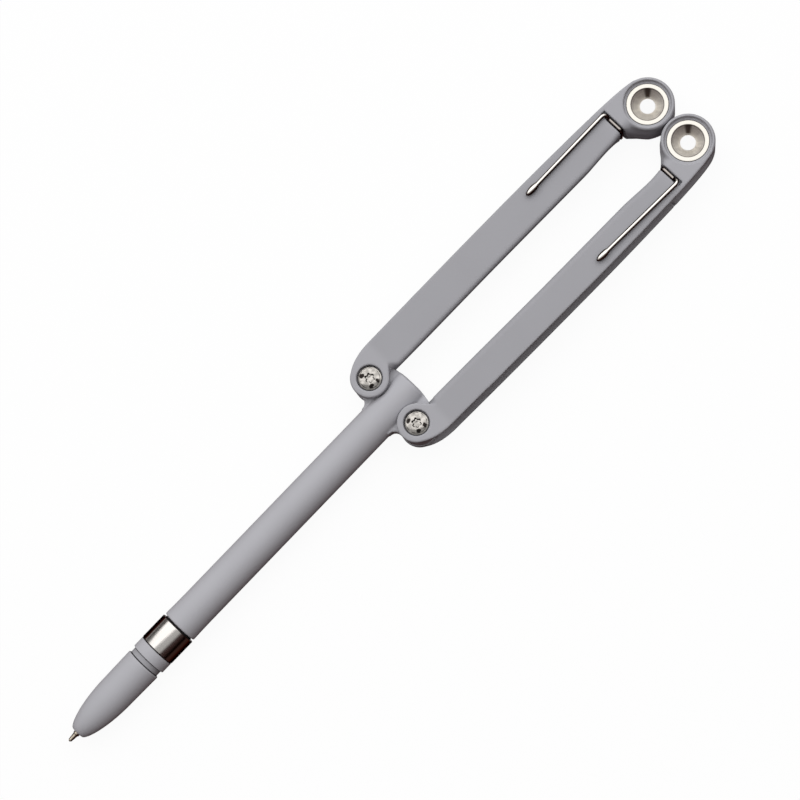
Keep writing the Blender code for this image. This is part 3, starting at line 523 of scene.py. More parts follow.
def polished_metal(name, colour, roughness, stretch, strength, flank, shaded_heights=None):
    """Plated metal with fine lines, from noise that is drawn out along one direction. Where the surface
    stands upright or faces down, its plating turns to a browner flank colour, a painted dark reflection of
    the room, and below the two shaded heights it turns to the same colour as painted shade."""
    finish = Finish(bpy.data.materials.new(name))
    spot = finish.node("ShaderNodeTexCoord", output="Object")
    drawn = finish.node("ShaderNodeMapping", None, {"Vector": spot, "Scale": stretch})
    line = finish.noise(drawn, 1.0, 4.0)
    upright = finish.dot(finish.node("ShaderNodeTexCoord", output="Normal"), UP)
    tone = finish.blend(line, colour, dimmed(colour, LINE_DULL))
    # Upright and downward faces get the flank colour, a painted dark reflection.
    tone = finish.blend(finish.step(upright, *FLANK_RISE), flank, tone)
    if shaded_heights:
        # Below the shaded heights the flank colour is painted shade.
        tone = finish.blend(finish.step(finish.dot(spot, UP), *shaded_heights), flank, tone)
    return shader(finish, Base_Color=tone, Metallic=1.0, Roughness=roughness + 0.1 * line,
                  Normal=finish.bump(line, strength), Specular_Tint=EDGE_TINT)


nickel_band = polished_metal("nickel_band", NICKEL, 0.16, (90.0, 2600.0, 2600.0), 0.5, FLANK_REFLECTION_AND_SHADE)
inner_r = SPIGOT_R + CLEAR
band_outline = eased([
    (BAND_FRONT, inner_r), (BAND_FRONT, BAND_R), (BAND_REAR, BAND_R), (BAND_REAR, inner_r)], BAND_EDGE)
band = revolved("nickel_ferrule", band_outline, nickel_band)
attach(band, "pen_body")
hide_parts("ferrule_band")


# Collar and nose: the turning front end, moulded in the same nylon. The collar has a
# slimmer neck in front, and the ogive nose screws on to it.
COLLAR_R = 5.58
NECK_R = 5.0
COLLAR_PLUG_R = 4.4
COLLAR_PLUG_LENGTH = 6.0
COLLAR_BORE_R = 3.9
SEAM = 0.15
NOSE_FRONT_R = 1.95
NOSE_OGIVE_LENGTH = 16.4
NOSE_OGIVE_R = 5.36
NOSE_REAR_R = 5.52
NOSE_EDGE = 0.3
COLLAR_EDGE = 0.12
TIP_BORE_R = 1.35
OGIVE_POWER = 0.65
SOCKET_SPARE = 0.3

plug_front = NOSE_REAR - COLLAR_PLUG_LENGTH
collar_rear = BAND_FRONT - SEAM
collar_outline = eased([
    (collar_rear, COLLAR_BORE_R), (collar_rear, COLLAR_R), (COLLAR_FRONT, COLLAR_R),
    (COLLAR_FRONT, NECK_R), (NOSE_REAR, NECK_R), (NOSE_REAR, COLLAR_PLUG_R),
    (plug_front, COLLAR_PLUG_R), (plug_front, COLLAR_BORE_R)], COLLAR_EDGE)
collar = revolved("collar_and_neck", collar_outline, nylon)


def ogive(t):
    """Nose radius a share t of the way back: fast at first, then levelling off."""
    return NOSE_FRONT_R + (NOSE_OGIVE_R - NOSE_FRONT_R) * (1.0 - (1.0 - t) ** 2) ** OGIVE_POWER


share = np.linspace(0.0, 1.0, 60) ** 1.6
curve = np.stack([NOSE_FRONT + share * NOSE_OGIVE_LENGTH, ogive(share)], -1)
back_share = np.linspace(0.0, 1.0, 12)[1:, None]
back_start = curve[-1]
back_end = np.array([NOSE_REAR - SEAM - NOSE_EDGE, NOSE_REAR_R])
straight = back_start + back_share * (back_end - back_start)
turn_in = np.linspace(0.0, 0.5 * math.pi, 7)[1:]
rim_drop = NOSE_EDGE * (1.0 - np.cos(turn_in))
rim = np.stack([back_end[0] + NOSE_EDGE * np.sin(turn_in), back_end[1] - rim_drop], -1)
socket_r = COLLAR_PLUG_R + CLEAR
socket_front = plug_front - SOCKET_SPARE
inside = [(NOSE_REAR - SEAM, socket_r), (socket_front, socket_r),
          (socket_front, TIP_BORE_R), (NOSE_FRONT, TIP_BORE_R)]
mouth_turn = np.linspace(0.0, 0.5 * math.pi, 6)[:-1]
mouth_r = NOSE_FRONT_R - NOSE_EDGE
mouth = np.stack([NOSE_FRONT + 0.0 * mouth_turn, mouth_r + NOSE_EDGE * np.sin(mouth_turn)], -1)
nose = revolved("ogive_nose", np.vstack([mouth, curve, straight, rim, inside]), nylon)
for piece, node in ((collar, "nose_collar"), (nose, "nose_cone")):
    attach(piece, "nose")
    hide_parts(node)


# Writing tip: a turned nickel-silver point that steps down to a cone, with a hard ball
# rolled into its end.
BALL_R = 0.4
BALL_GAP = 0.06
TIP_LIP = (0.35, BALL_R + 0.14)
TIP_CONE = (2.6, 0.78)
TIP_STEP = (2.75, 0.95)
TIP_TAPER = (3.6, 1.05)
TIP_NECK_R = 1.15
TIP_NECK = (4.2, TIP_NECK_R)
TIP_SEAT = 0.95
INK_DUCT_FRONT = (1.6, 0.25)
INK_DUCT_R = 0.5
TIP_FLANGE = 1.0
TIP_EDGE = 0.08
TIP_SHOULDER = -TIP_REACH + 11.9
REFILL_R = 2.95
TIP_METAL = (0.66, 0.58, 0.47, 1.0)

point = -TIP_REACH
seat_r = BALL_R + BALL_GAP
tip_steps = [(TIP_LIP[0], seat_r), TIP_LIP, TIP_CONE, TIP_STEP, TIP_TAPER, TIP_NECK]
tip_outline = eased([(point + back, r) for back, r in tip_steps] + [
    (TIP_SHOULDER - CLEAR, TIP_NECK_R), (TIP_SHOULDER - CLEAR, REFILL_R),
    (TIP_SHOULDER + TIP_FLANGE, REFILL_R), (TIP_SHOULDER + TIP_FLANGE, INK_DUCT_R),
    (point + INK_DUCT_FRONT[0], INK_DUCT_FRONT[1]), (point + TIP_SEAT, seat_r)], TIP_EDGE)
tip_metal = polished_metal("tip_metal", TIP_METAL, 0.18, (2600.0, 90.0, 90.0), 0.2, FLANK_REFLECTION_AND_SHADE)
tip = revolved("turned_tip", tip_outline, tip_metal, turns=64)
half_turn = np.linspace(0.0, math.pi, 25)
ball_outline = np.stack([point + BALL_R - BALL_R * np.cos(half_turn), BALL_R * np.sin(half_turn)], -1)
ball = revolved("hard_ball", ball_outline, tip_metal, wrap_rows=False, turns=48)
for piece, node, slot in ((tip, "refill_tip", "tip_brass"), (ball, "writing_ball", "refill_steel")):
    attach(piece, "refill")
    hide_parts(node)


# Handles: two nylon mouldings, one turned over beside the other, each a long channel that the
# pen drops into when shut, with a forked ear round its pivot and a round ring head at its end.
HANDLE_SWAY = math.radians(0.63)
CLOSED_ANGLE = math.radians(179.3)
RING_REACH = 112.04
HEAD_V = -1.457
HEAD_R = 7.85
HEAD_ROUND = 1.0
HEAD_FILLET = 1.6
HEAD_JOIN_ANGLE = math.radians(72.0)
HANDLE_H = 5.8
ROUND_R = 1.5
INNER_DRAFT = 0.92
FADE_INSET = 0.35
LIP_ROUND = 0.45
EDGE_MAX_U = 62.0
EDGE_MAX_V = 7.98
EDGE_SAG_FRONT = 0.394
EDGE_SAG_REAR = 0.416
SHOULDER_START = (-2.9, 4.8)
SHOULDER_BEND = (0.9, 7.65)
SHOULDER_END_U = 8.0
HEAD_BLEND_U = RING_REACH - 16.04
INNER_ROOT = (10.0, -2.63)
INNER_MID = (55.0, -2.33)
INNER_WAIST = (RING_REACH - 27.04, -1.83)
WAIST_RUN = 11.0
FLARE_U = RING_REACH - 14.54
FLARE_RUN = 6.8
FLARE_DEPTH = 3.85
FLARE_STRAIGHT = math.sqrt(FLARE_RUN / (3.0 * FLARE_DEPTH))
FLARE_TANGENT = 3.8
ROOT_HOLLOW = 2.2
HOLLOW_SPAN = (6.0, 9.0)
BOSS_APEX = (9.2, 2.6)
BOSS_TIP_R = 0.5
CHANNEL_CLEAR = 0.25
FORK_HALF = 3.2
FORK_SPARE = 0.6
FORK_R = math.hypot(TANG_FRONT + TANG_FILLET, PIVOT_HALF_SPAN - BARREL_R) + FORK_SPARE
SCREW_RECESS_R = 3.8
SCREW_RECESS_DEPTH = 1.6
POCKET_DEPTH = 1.3
POCKET_RIM_R = 7.0
POCKET_FLOOR_R = 6.75
INSERT_BORE_R = 6.15
INSERT_HALF = HANDLE_H - POCKET_DEPTH
CLIP_CROSS_U = RING_REACH - 10.84
CLIP_V = 5.15
GROOVE_HALF = 0.85
GROOVE_DEPTH = 1.7
WIRE_HOLE_R = 0.85
WIRE_HOLE_DEPTH = 3.4
WIRE_TAIL = 1.2
TAIL_SETBACK = 3.2
SLIT_U = RING_REACH - 14.8
SLIT_HALF = 0.36
SLIT_DEPTH = 1.0
SLIT_LAND = 0.35
TIP_ROOM = 2.0
TIP_ROOM_R = 1.5
NOSE_ROOM = 1.0
BAND_ROOM = 1.5
BOSS_FILLET = 0.7
CUT_ROUND = 0.2
BORE_ROUND = 0.1
POCKET_ROUND = 0.25
GROOVE_ROUND = 0.15
# Lower than PEN_LIGHTNESS, whose extra lightness is a painted sheen on the barrel.
HANDLE_LIGHTNESS = 0.96
EAR_SPAN = (5.5, 8.5)
HEAD_SPAN = (RING_REACH - 16.0, RING_REACH - 8.0)
SIDES = (("left", 1.0), ("right", -1.0))


def rise(value, low, high):
    """Smooth step from 0 to 1 between low and high."""
    t = np.clip((value - low) / (high - low), 0.0, 1.0)
    return t * t * (3.0 - 2.0 * t)


def bend(p0, p1, p2, count):
    """Quadratic curve from p0 to p2 that leaves and arrives along the lines to p1."""
    t = np.linspace(0.0, 1.0, count)[:, None]
    return (1.0 - t) ** 2 * np.array(p0) + 2.0 * t * (1.0 - t) * np.array(p1) + t ** 2 * np.array(p2)


def bowed(u):
    """Outer edge of the long lip: highest in its middle, with a small sag at both ends."""
    front = ((u - EDGE_MAX_U) / (SHOULDER_END_U - EDGE_MAX_U)) ** 2
    rear = ((u - EDGE_MAX_U) / (HEAD_BLEND_U - EDGE_MAX_U)) ** 2
    return EDGE_MAX_V - np.where(u < EDGE_MAX_U, EDGE_SAG_FRONT * front, EDGE_SAG_REAR * rear)


def outer_edge():
    """Outer edge as points: shoulder by the ear, bowed lip, then a run that meets the head."""
    shoulder = bend(SHOULDER_START, SHOULDER_BEND, (SHOULDER_END_U, bowed(SHOULDER_END_U)), 40)
    middle_u = np.linspace(SHOULDER_END_U, HEAD_BLEND_U, 60)[1:-1]
    start = (HEAD_BLEND_U, bowed(HEAD_BLEND_U))
    join = (RING_REACH + HEAD_R * math.cos(HEAD_JOIN_ANGLE),
            HEAD_V + HEAD_R * math.sin(HEAD_JOIN_ANGLE))
    slope0 = -2.0 * EDGE_SAG_REAR / (HEAD_BLEND_U - EDGE_MAX_U)
    slope1 = -1.0 / math.tan(HEAD_JOIN_ANGLE)
    bend_u = (join[1] - start[1] + slope0 * start[0] - slope1 * join[0]) / (slope0 - slope1)
    run = bend(start, (bend_u, start[1] + slope0 * (bend_u - start[0])), join, 40)
    return np.vstack([shoulder, np.stack([middle_u, bowed(middle_u)], -1), run])


EDGE = outer_edge()
EDGE_SLOPE = np.gradient(EDGE[:, 1], EDGE[:, 0])


def upright_share(u):
    """Share by which the leaning inner side has turned upright, as it runs into the ring head."""
    return rise(u, INNER_WAIST[0] + WAIST_RUN, FLARE_U + FLARE_RUN)


def inner_edge(u, z=0.0):
    """Inner side's reach towards the other handle: nearly straight, a waist, then a flare. With the
    height squared, the flare thins towards the face and a hollow opens beside the ear."""
    v = INNER_ROOT[1] + (INNER_MID[1] - INNER_ROOT[1]) * rise(u, INNER_ROOT[0], INNER_MID[0])
    v = v + (INNER_WAIST[1] - INNER_MID[1]) * rise(u, INNER_WAIST[0], INNER_WAIST[0] + WAIST_RUN)
    v = v + FADE_INSET * upright_share(u)
    run = np.clip((u - FLARE_U) / FLARE_RUN, 0.0, FLARE_STRAIGHT)
    tangent = np.clip(u - FLARE_U - FLARE_STRAIGHT * FLARE_RUN, 0.0, FLARE_TANGENT)
    flare = FLARE_DEPTH * run ** 3 + tangent
    height = np.clip(z / HANDLE_H, 0.0, 1.0) ** 2
    return v - flare * (1.0 - height) + ROOT_HOLLOW * (1.0 - rise(u, *HOLLOW_SPAN)) * height


def pen_radius(x):
    """Radius of the closed pen at x, with the channel's clearance."""
    back = np.linspace(0.0, 1.0, 12) ** 1.4
    rows = [(-TIP_REACH - TIP_ROOM, TIP_ROOM_R), (NOSE_FRONT - NOSE_ROOM, NOSE_FRONT_R)]
    rows += [(NOSE_FRONT + t * NOSE_OGIVE_LENGTH, ogive(t) + CHANNEL_CLEAR) for t in back]
    rows += [(NOSE_REAR, NOSE_REAR_R + CHANNEL_CLEAR), (COLLAR_FRONT, BAND_R + CHANNEL_CLEAR),
             (BARREL_FRONT + BAND_ROOM, BAND_R + CHANNEL_CLEAR),
             (BARREL_FRONT + BARREL_FLARE, BARREL_R + CHANNEL_CLEAR)]
    known_x, known_r = np.array(rows).T
    return np.interp(x, known_x, known_r)


def teardrop(u, v, tip):
    """Distance in plan to the ear's disc drawn out to a point on the handle's face."""
    length = math.hypot(*tip)
    along = (u * tip[0] + v * tip[1]) / length
    aside = np.abs(v * tip[0] - u * tip[1]) / length
    lean = (EAR_R - BOSS_TIP_R) / length
    upright = math.sqrt(1.0 - lean * lean)
    k = -lean * aside + upright * along
    drop = np.where(k > upright * length, np.hypot(aside, along - length) - BOSS_TIP_R,
                    aside * upright + along * lean - EAR_R)
    return np.where(k < 0.0, np.hypot(aside, along) - EAR_R, drop)


def drafted(u, v, z, side):
    """Distance out along a handle, on a wall that leans to its face (left) or its back (right)."""
    return v - side * INNER_DRAFT * (1.0 - upright_share(u)) * z / HANDLE_H


def tail_out(side):
    """Place across a handle of the hole in its back that takes the clip's tail."""
    return drafted(CLIP_CROSS_U, inner_edge(CLIP_CROSS_U) + TAIL_SETBACK, -HANDLE_H, side)


def handle_field(place, side):
    """Handle in its own plan (u along, v outwards, z up): a bar with a leaning inner side, the ear's
    teardrop and the ring head, less the pen's channel, the fork, the seats and the clip's groove."""
    u, v, z = np.moveaxis(place, -1, 0)
    high = np.abs(z)
    slab = high - HANDLE_H
    flank = drafted(u, v, z, -side) - inner_edge(u, z)
    section = joined_max(-flank, slab, ROUND_R)
    lean = np.interp(u, EDGE[:, 0], EDGE_SLOPE)
    outer = (v - np.interp(u, EDGE[:, 0], EDGE[:, 1])) / np.sqrt(1.0 + lean * lean)
    bar = joined_max(section, outer, LIP_ROUND)
    bar = np.maximum(bar, np.maximum(EDGE[0, 0] - u, u - EDGE[-1, 0]))
    below_face = rise(ROUND_R - flank, 0.0, 2.0 * ROUND_R)

    boss = joined_max(teardrop(u, v, BOSS_APEX), slab, LIP_ROUND)
    whole = joined_min(bar, boss, BOSS_FILLET * below_face)
    head_r = np.hypot(u - RING_REACH, v - HEAD_V)
    head = joined_max(head_r - HEAD_R, slab, HEAD_ROUND)
    whole = joined_min(whole, head, HEAD_FILLET * below_face)

    pen_x = math.cos(CLOSED_ANGLE) * u - math.sin(CLOSED_ANGLE) * v
    pen_y = PIVOT_HALF_SPAN + math.sin(CLOSED_ANGLE) * u + math.cos(CLOSED_ANGLE) * v
    channel = np.maximum(np.hypot(pen_y, z) - pen_radius(pen_x), pen_x - EAR_R)
    channel = np.maximum(channel, -TIP_REACH - TIP_ROOM - pen_x)
    whole = joined_max(whole, -channel, CUT_ROUND)

    plan_r = np.hypot(u, v)
    whole = np.minimum(whole, joined_max(plan_r - EAR_R, slab, LIP_ROUND))
    whole = joined_max(whole, -np.maximum(plan_r - FORK_R, high - FORK_HALF), CUT_ROUND)
    seat_depth = HANDLE_H - SCREW_RECESS_DEPTH
    seat = np.maximum(plan_r - SCREW_RECESS_R, seat_depth - high)
    whole = joined_max(whole, -np.minimum(seat, plan_r - PIVOT_BORE_R), CUT_ROUND)

    cone = POCKET_FLOOR_R + (POCKET_RIM_R - POCKET_FLOOR_R) * (high - INSERT_HALF) / POCKET_DEPTH
    whole = joined_max(whole, INSERT_BORE_R - head_r, BORE_ROUND)
    whole = joined_max(whole, -np.maximum(head_r - cone, INSERT_HALF - high), POCKET_ROUND)

    tail_v = tail_out(side)
    end_v = np.where(z > 0.0, CLIP_V + GROOVE_HALF, tail_v + WIRE_HOLE_R)
    groove = np.maximum(np.abs(u - CLIP_CROSS_U) - GROOVE_HALF, -(section + GROOVE_DEPTH))
    whole = joined_max(whole, -np.maximum(groove, v - end_v), GROOVE_ROUND)
    hole = np.hypot(u - CLIP_CROSS_U, v - tail_v) - WIRE_HOLE_R
    whole = np.maximum(whole, -np.maximum(hole, z + HANDLE_H - WIRE_HOLE_DEPTH))
    slit = np.maximum(np.abs(u - SLIT_U) - SLIT_HALF, -outer - SLIT_DEPTH)
    slit = np.maximum(slit, high - HANDLE_H + SLIT_LAND)
    return np.maximum(whole, -slit)


def on_handle(place, side):
    """Points of a handle's own plan as points of the frame, for the left (1) or right (-1) handle."""
    u, v, z = np.moveaxis(np.asarray(place, float), -1, 0)
    pivot = LEFT_PIVOT if side > 0 else RIGHT_PIVOT
    cosine = math.cos(HANDLE_SWAY)
    sine = math.sin(HANDLE_SWAY)
    x = u * cosine + side * v * sine
    y = side * v * cosine - u * sine
    return np.stack([x, y, z], -1) * MM + pivot


handle_low = (-EAR_R, HEAD_V - HEAD_R, -HANDLE_H)
handle_high = (RING_REACH + HEAD_R, EDGE_MAX_V, HANDLE_H)
# Spans outside which the handles' nylon is painted paler: a painted highlight over the ears and ring
# heads.
highlit_ends = [[float(on_handle((u, 0.0, 0.0), 1)[0]) for u in span] for span in (EAR_SPAN, HEAD_SPAN)]
handle_nylon = grey_nylon("handle_nylon", HANDLE_LIGHTNESS, highlit_ends=highlit_ends)
for word, side in SIDES:
    points, faces = skin(lambda place: handle_field(place, side), handle_low, handle_high, SKIN_STEP)
    faces = faces if side > 0 else faces[:, ::-1]
    handle = mesh_from("moulded_handle_" + word, on_handle(points, side), faces, handle_nylon)
    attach(handle, word + "_handle")
    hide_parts("handle_" + word)


# Ring inserts: turned steel rings, pressed into the handles' heads, with a bright flat rim
# and a countersink that still shows the lathe's lines.
INSERT_R = 6.06
SINK_R = 4.88
SINK_DEPTH = 2.2
FINGER_HOLE_R = 2.25
HOLE_LAND = 0.7
RING_EDGE = 0.12
RIM_STEEL = (0.56, 0.535, 0.49, 1.0)
CONE_STEEL = (0.86, 0.82, 0.76, 1.0)
CONE_SHADE = (0.12, 0.095, 0.08, 1.0)
SHADE_TURN = (math.cos(math.radians(21.0)), math.cos(math.radians(9.0)))
SHADE_TOWARD = (0.7194, 0.6783, 0.0)
SHADE_RAGGED = 0.04
RIM_SOFT = 0.12
RIM_DULL = 0.86
CONE_DULL = 0.76
MOTTLE = (0.36, 0.64)
LIP_HIGHLIGHT = (1.0, 0.97, 0.92, 1.0)
LIP_BAND = ((FINGER_HOLE_R + 0.2) * MM, (FINGER_HOLE_R + 0.55) * MM)
LIP_LINES = (0.35, 0.6)
BRINK_BAND = ((SINK_R - 0.4) * MM, (SINK_R - 0.2) * MM)
BRINK_SHARE = 0.6


def turned_steel(name, centre):
    """Turned steel: rings of fine lathe lines about a centre, from noise on the distance to it. The cone
    below the rim is duller, with radial streaks and one sector towards the ring's end painted dark as a
    painted reflection.
    The hole's lip carries a painted highlight, and the cone's outer brink a thin painted dark reflection."""
    finish = Finish(bpy.data.materials.new(name))
    spot = finish.node("ShaderNodeTexCoord", output="Object")
    flat = finish.in_plan(spot, centre)
    radius = finish.length(flat)
    toward = finish.node("ShaderNodeVectorMath", {"operation": "NORMALIZE"}, {0: flat})
    line = finish.node("ShaderNodeTexNoise", {"noise_dimensions": "1D"},
                       {"W": radius, "Scale": 6000.0, "Detail": 3.0})
    streak = finish.noise(toward, 2.2, 4.0)
    ragged = SHADE_RAGGED * (streak - 0.5)
    # One sector of the cone, towards the ring's end, is painted dark as a painted reflection.
    reflected_sector = finish.step(finish.dot(toward, SHADE_TOWARD) + ragged, *SHADE_TURN)
    cone = 1.0 - finish.step(radius, (SINK_R - RIM_SOFT) * MM, SINK_R * MM)
    rim_tone = finish.blend(line, RIM_STEEL, dimmed(RIM_STEEL, RIM_DULL))
    mottle = finish.step(0.5 * streak + 0.5 * line, *MOTTLE)
    cone_tone = finish.blend(mottle, CONE_STEEL, dimmed(CONE_STEEL, CONE_DULL))
    cone_tone = finish.blend(reflected_sector, cone_tone, CONE_SHADE)
    # Painted highlight on the hole's lip.
    lip = 1.0 - finish.step(radius, *LIP_BAND)
    cone_tone = finish.blend(lip * finish.step(line, *LIP_LINES), cone_tone, LIP_HIGHLIGHT)
    # Thin painted dark reflection at the cone's outer brink.
    cone_tone = finish.blend(BRINK_SHARE * finish.step(radius, *BRINK_BAND), cone_tone, CONE_SHADE)
    return shader(finish, Base_Color=finish.blend(cone, rim_tone, cone_tone), Metallic=1.0,
                  Roughness=0.2 + 0.14 * line + 0.16 * cone, Normal=finish.bump(line, 0.35))


def turned(name, profile, centre, material, turns=128):
    """Surface of revolution: each (radius, z) of a profile carried round an upright axis."""
    r, z = np.asarray(profile, float).T[:, :, None]
    angle = np.linspace(0.0, 2.0 * math.pi, turns, endpoint=False)[None, :]
    points = np.stack([r * np.cos(angle), r * np.sin(angle), z + 0.0 * angle], -1)
    return grid_object(name, points * MM + centre, material)


sink_floor = INSERT_HALF - SINK_DEPTH
land_floor = sink_floor - HOLE_LAND
ring_outline = eased([
    (SINK_R, -INSERT_HALF), (INSERT_R, -INSERT_HALF), (INSERT_R, INSERT_HALF), (SINK_R, INSERT_HALF),
    (FINGER_HOLE_R, sink_floor), (FINGER_HOLE_R, land_floor), (SINK_R, land_floor)], RING_EDGE)
for word, side in SIDES:
    centre = on_handle((RING_REACH, HEAD_V, 0.0), side)
    ring_steel = turned_steel("ring_steel_" + word, centre)
    ring = turned("countersunk_ring_" + word, ring_outline, centre, ring_steel)
    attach(ring, word + "_handle")
    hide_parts("ring_insert_" + word)


# Wire clips: bright spring wire with a bulb at the free end, bent down into a groove across
# the handle, round its inner side and into a hole in its back.
WIRE_R = 0.62
WIRE_SUNK = 0.3
CLIP_BEND = 1.4
BEND_MIN_R = 0.8
WIRE_END = 2.1
CLIP_LENGTH = 32.5
CLIP_TIP_U = CLIP_CROSS_U - CLIP_LENGTH
CLIP_TIP_V = 4.55
BULB_R = 0.98
BULB_LENGTH = 5.2
BULB_BUNCH = 1.5
BEND_MIDDLE = 0.7
BEND_DIP = 1.1
BEND_LANDING = 1.6
WIRE_CAP = 0.01
WIRE_SIDES = 28
WIRE_STEEL = (0.76, 0.72, 0.67, 1.0)
WIRE_LINES = (700.0, 700.0, 700.0)
# Heights below which the wire is painted dark as shade down in the handle's groove.
GROOVE_SHADE_LOW = HANDLE_H - 0.6
GROOVE_SHADE_HIGH = HANDLE_H + 0.1


def clip_path(side):
    """Clip's centre line and radius: bulb, straight leg, bend, a turn round the inner side, tail."""
    sunk = WIRE_R + WIRE_SUNK
    lift = HANDLE_H + WIRE_R + CLEAR
    low = HANDLE_H - sunk
    leg_end = np.array([CLIP_CROSS_U - CLIP_BEND, CLIP_V, lift])
    leg_start = np.array([CLIP_TIP_U, CLIP_TIP_V, HANDLE_H + BULB_R + CLEAR])
    bulb_share = BULB_LENGTH / (CLIP_LENGTH - CLIP_BEND)
    bulb_steps = np.linspace(0.0, 1.0, 40) ** BULB_BUNCH * bulb_share
    share = np.concatenate([bulb_steps, np.linspace(bulb_share, 1.0, 24)[1:]])
    leg = leg_start + share[:, None] * (leg_end - leg_start)
    middle = (CLIP_CROSS_U, CLIP_V - BEND_MIDDLE * CLIP_BEND, 0.5 * (lift + low))
    landing = (CLIP_CROSS_U, CLIP_V - BEND_LANDING * CLIP_BEND, low)
    corner = bend(leg_end, (CLIP_CROSS_U, CLIP_V, lift), middle, 10)[1:]
    dive = bend(middle, (CLIP_CROSS_U, CLIP_V - BEND_DIP * CLIP_BEND, low), landing, 8)[1:]
    angle = np.linspace(0.0, math.pi, 40)
    centre_v = float(inner_edge(CLIP_CROSS_U)) + sunk + BEND_MIN_R
    level = np.where(angle < 0.5 * math.pi, low - BEND_MIN_R, BEND_MIN_R - low)
    around_z = level + BEND_MIN_R * np.cos(angle)
    around_v = drafted(CLIP_CROSS_U, centre_v - BEND_MIN_R * np.sin(angle), around_z, side)
    around = np.stack([np.full_like(angle, CLIP_CROSS_U), around_v, around_z], -1)
    tail_v = tail_out(side)
    tail = bend((CLIP_CROSS_U, tail_v - WIRE_TAIL, -low), (CLIP_CROSS_U, tail_v, -low),
                (CLIP_CROSS_U, tail_v, -low + WIRE_TAIL), 8)
    end = np.array([[CLIP_CROSS_U, tail_v, -low + WIRE_END]])
    path = np.vstack([leg, corner, dive, around, tail, end, end + (0.0, 0.0, WIRE_CAP)])
    t = np.linalg.norm(path - path[0], axis=1) / BULB_LENGTH
    drop = BULB_R * np.sqrt(np.clip(1.0 - (2.0 * t - 1.0) ** 2, 0.0, 1.0))
    radius = np.where(t < 0.5, drop, np.maximum(drop, WIRE_R))
    radius[len(leg):] = WIRE_R
    radius[-1] = 0.0
    return path, radius


def swept(path, radius, sides):
    """Round section carried along a path: each ring lies across the path's own direction, on
    axes that are turned from ring to ring only as far as the path turns."""
    along = np.gradient(path, axis=0)
    along /= np.linalg.norm(along, axis=1, keepdims=True)
    first = np.zeros_like(path)
    first[0] = np.cross(along[0], (0.0, 0.0, 1.0))
    for i in range(1, len(path)):
        first[i] = first[i - 1] - along[i] * (first[i - 1] @ along[i])
        first[i] /= np.linalg.norm(first[i])
    second = np.cross(along, first)
    angle = np.linspace(0.0, 2.0 * math.pi, sides, endpoint=False)[None, :, None]
    ring = first[:, None] * np.cos(angle) + second[:, None] * np.sin(angle)
    return path[:, None] + radius[:, None, None] * ring


# Painted shade on the wire where it sinks into the groove.
groove_shade_heights = (PEN_ORIGIN[2] + GROOVE_SHADE_LOW * MM, PEN_ORIGIN[2] + GROOVE_SHADE_HIGH * MM)
wire_steel = polished_metal("wire_steel", WIRE_STEEL, 0.1, WIRE_LINES, 0.1, FLANK_REFLECTION_AND_SHADE, groove_shade_heights)
for word, side in SIDES:
    clip_rings = swept(*clip_path(side), WIRE_SIDES)
    clip = grid_object("bent_clip_" + word, on_handle(clip_rings, side), wire_steel, wrap_rows=False)
    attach(clip, word + "_handle")
    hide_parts("wire_clip_" + word)


# Pivot screws and sleeve nuts: button heads with a six-lobe socket, nickel plated, sunk in
# round seats in both faces of the ears.
SCREW_HEAD_R = 3.5
SCREW_CROWN_R = 1.65
SCREW_SHANK_R = 1.2
SCREW_SOCKET_R = 1.5
SOCKET_DEPTH = 0.75
SLEEVE_R = 2.0
HEAD_SKIRT = 0.75
HEAD_TOP_GAP = 0.3
SCREW_STEEL = (0.40, 0.38, 0.355, 1.0)
# Dark colour of the tool mark, and of the painted reflections and painted shade below.
SCREW_DARK = (0.016, 0.013, 0.012, 1.0)
REFLECTION_PATCH_ANGLES = tuple(math.radians(a) for a in (119.0, -121.0, -61.0))
REFLECTION_PATCH_R = 2.35
REFLECTION_PATCH_SIZE = 0.8 * MM
REFLECTION_PATCH_EDGE = (0.7 * REFLECTION_PATCH_SIZE, 0.95 * REFLECTION_PATCH_SIZE)
TOOL_MARK_R = 2.95
TOOL_MARK_WIDTH = (0.03 * MM, 0.12 * MM)
TOOL_MARK_GAPS = (0.4, 0.55)
SCRATCHES = (0.35, 0.65)
DOME_POWER = 1.8
LOBE_DEPTH = 0.16
DIMPLE_R = 0.55
DIMPLE_DEPTH = 0.25
SOCKET_FLOOR = (0.66, 0.76, 0.78)
SOCKET_BRIM = ((1.0, 0.12, 1.0), (1.01, 0.05, 1.0), (1.07, 0.0, 0.9))
SOCKET_WALL = (0.42, 0.66)
SKIRT_LAND = 0.1
SKIRT_EDGE = 0.06
SCREW_END = -1.0
NUT_WEB = 1.5
SCREW_DULL = 0.6


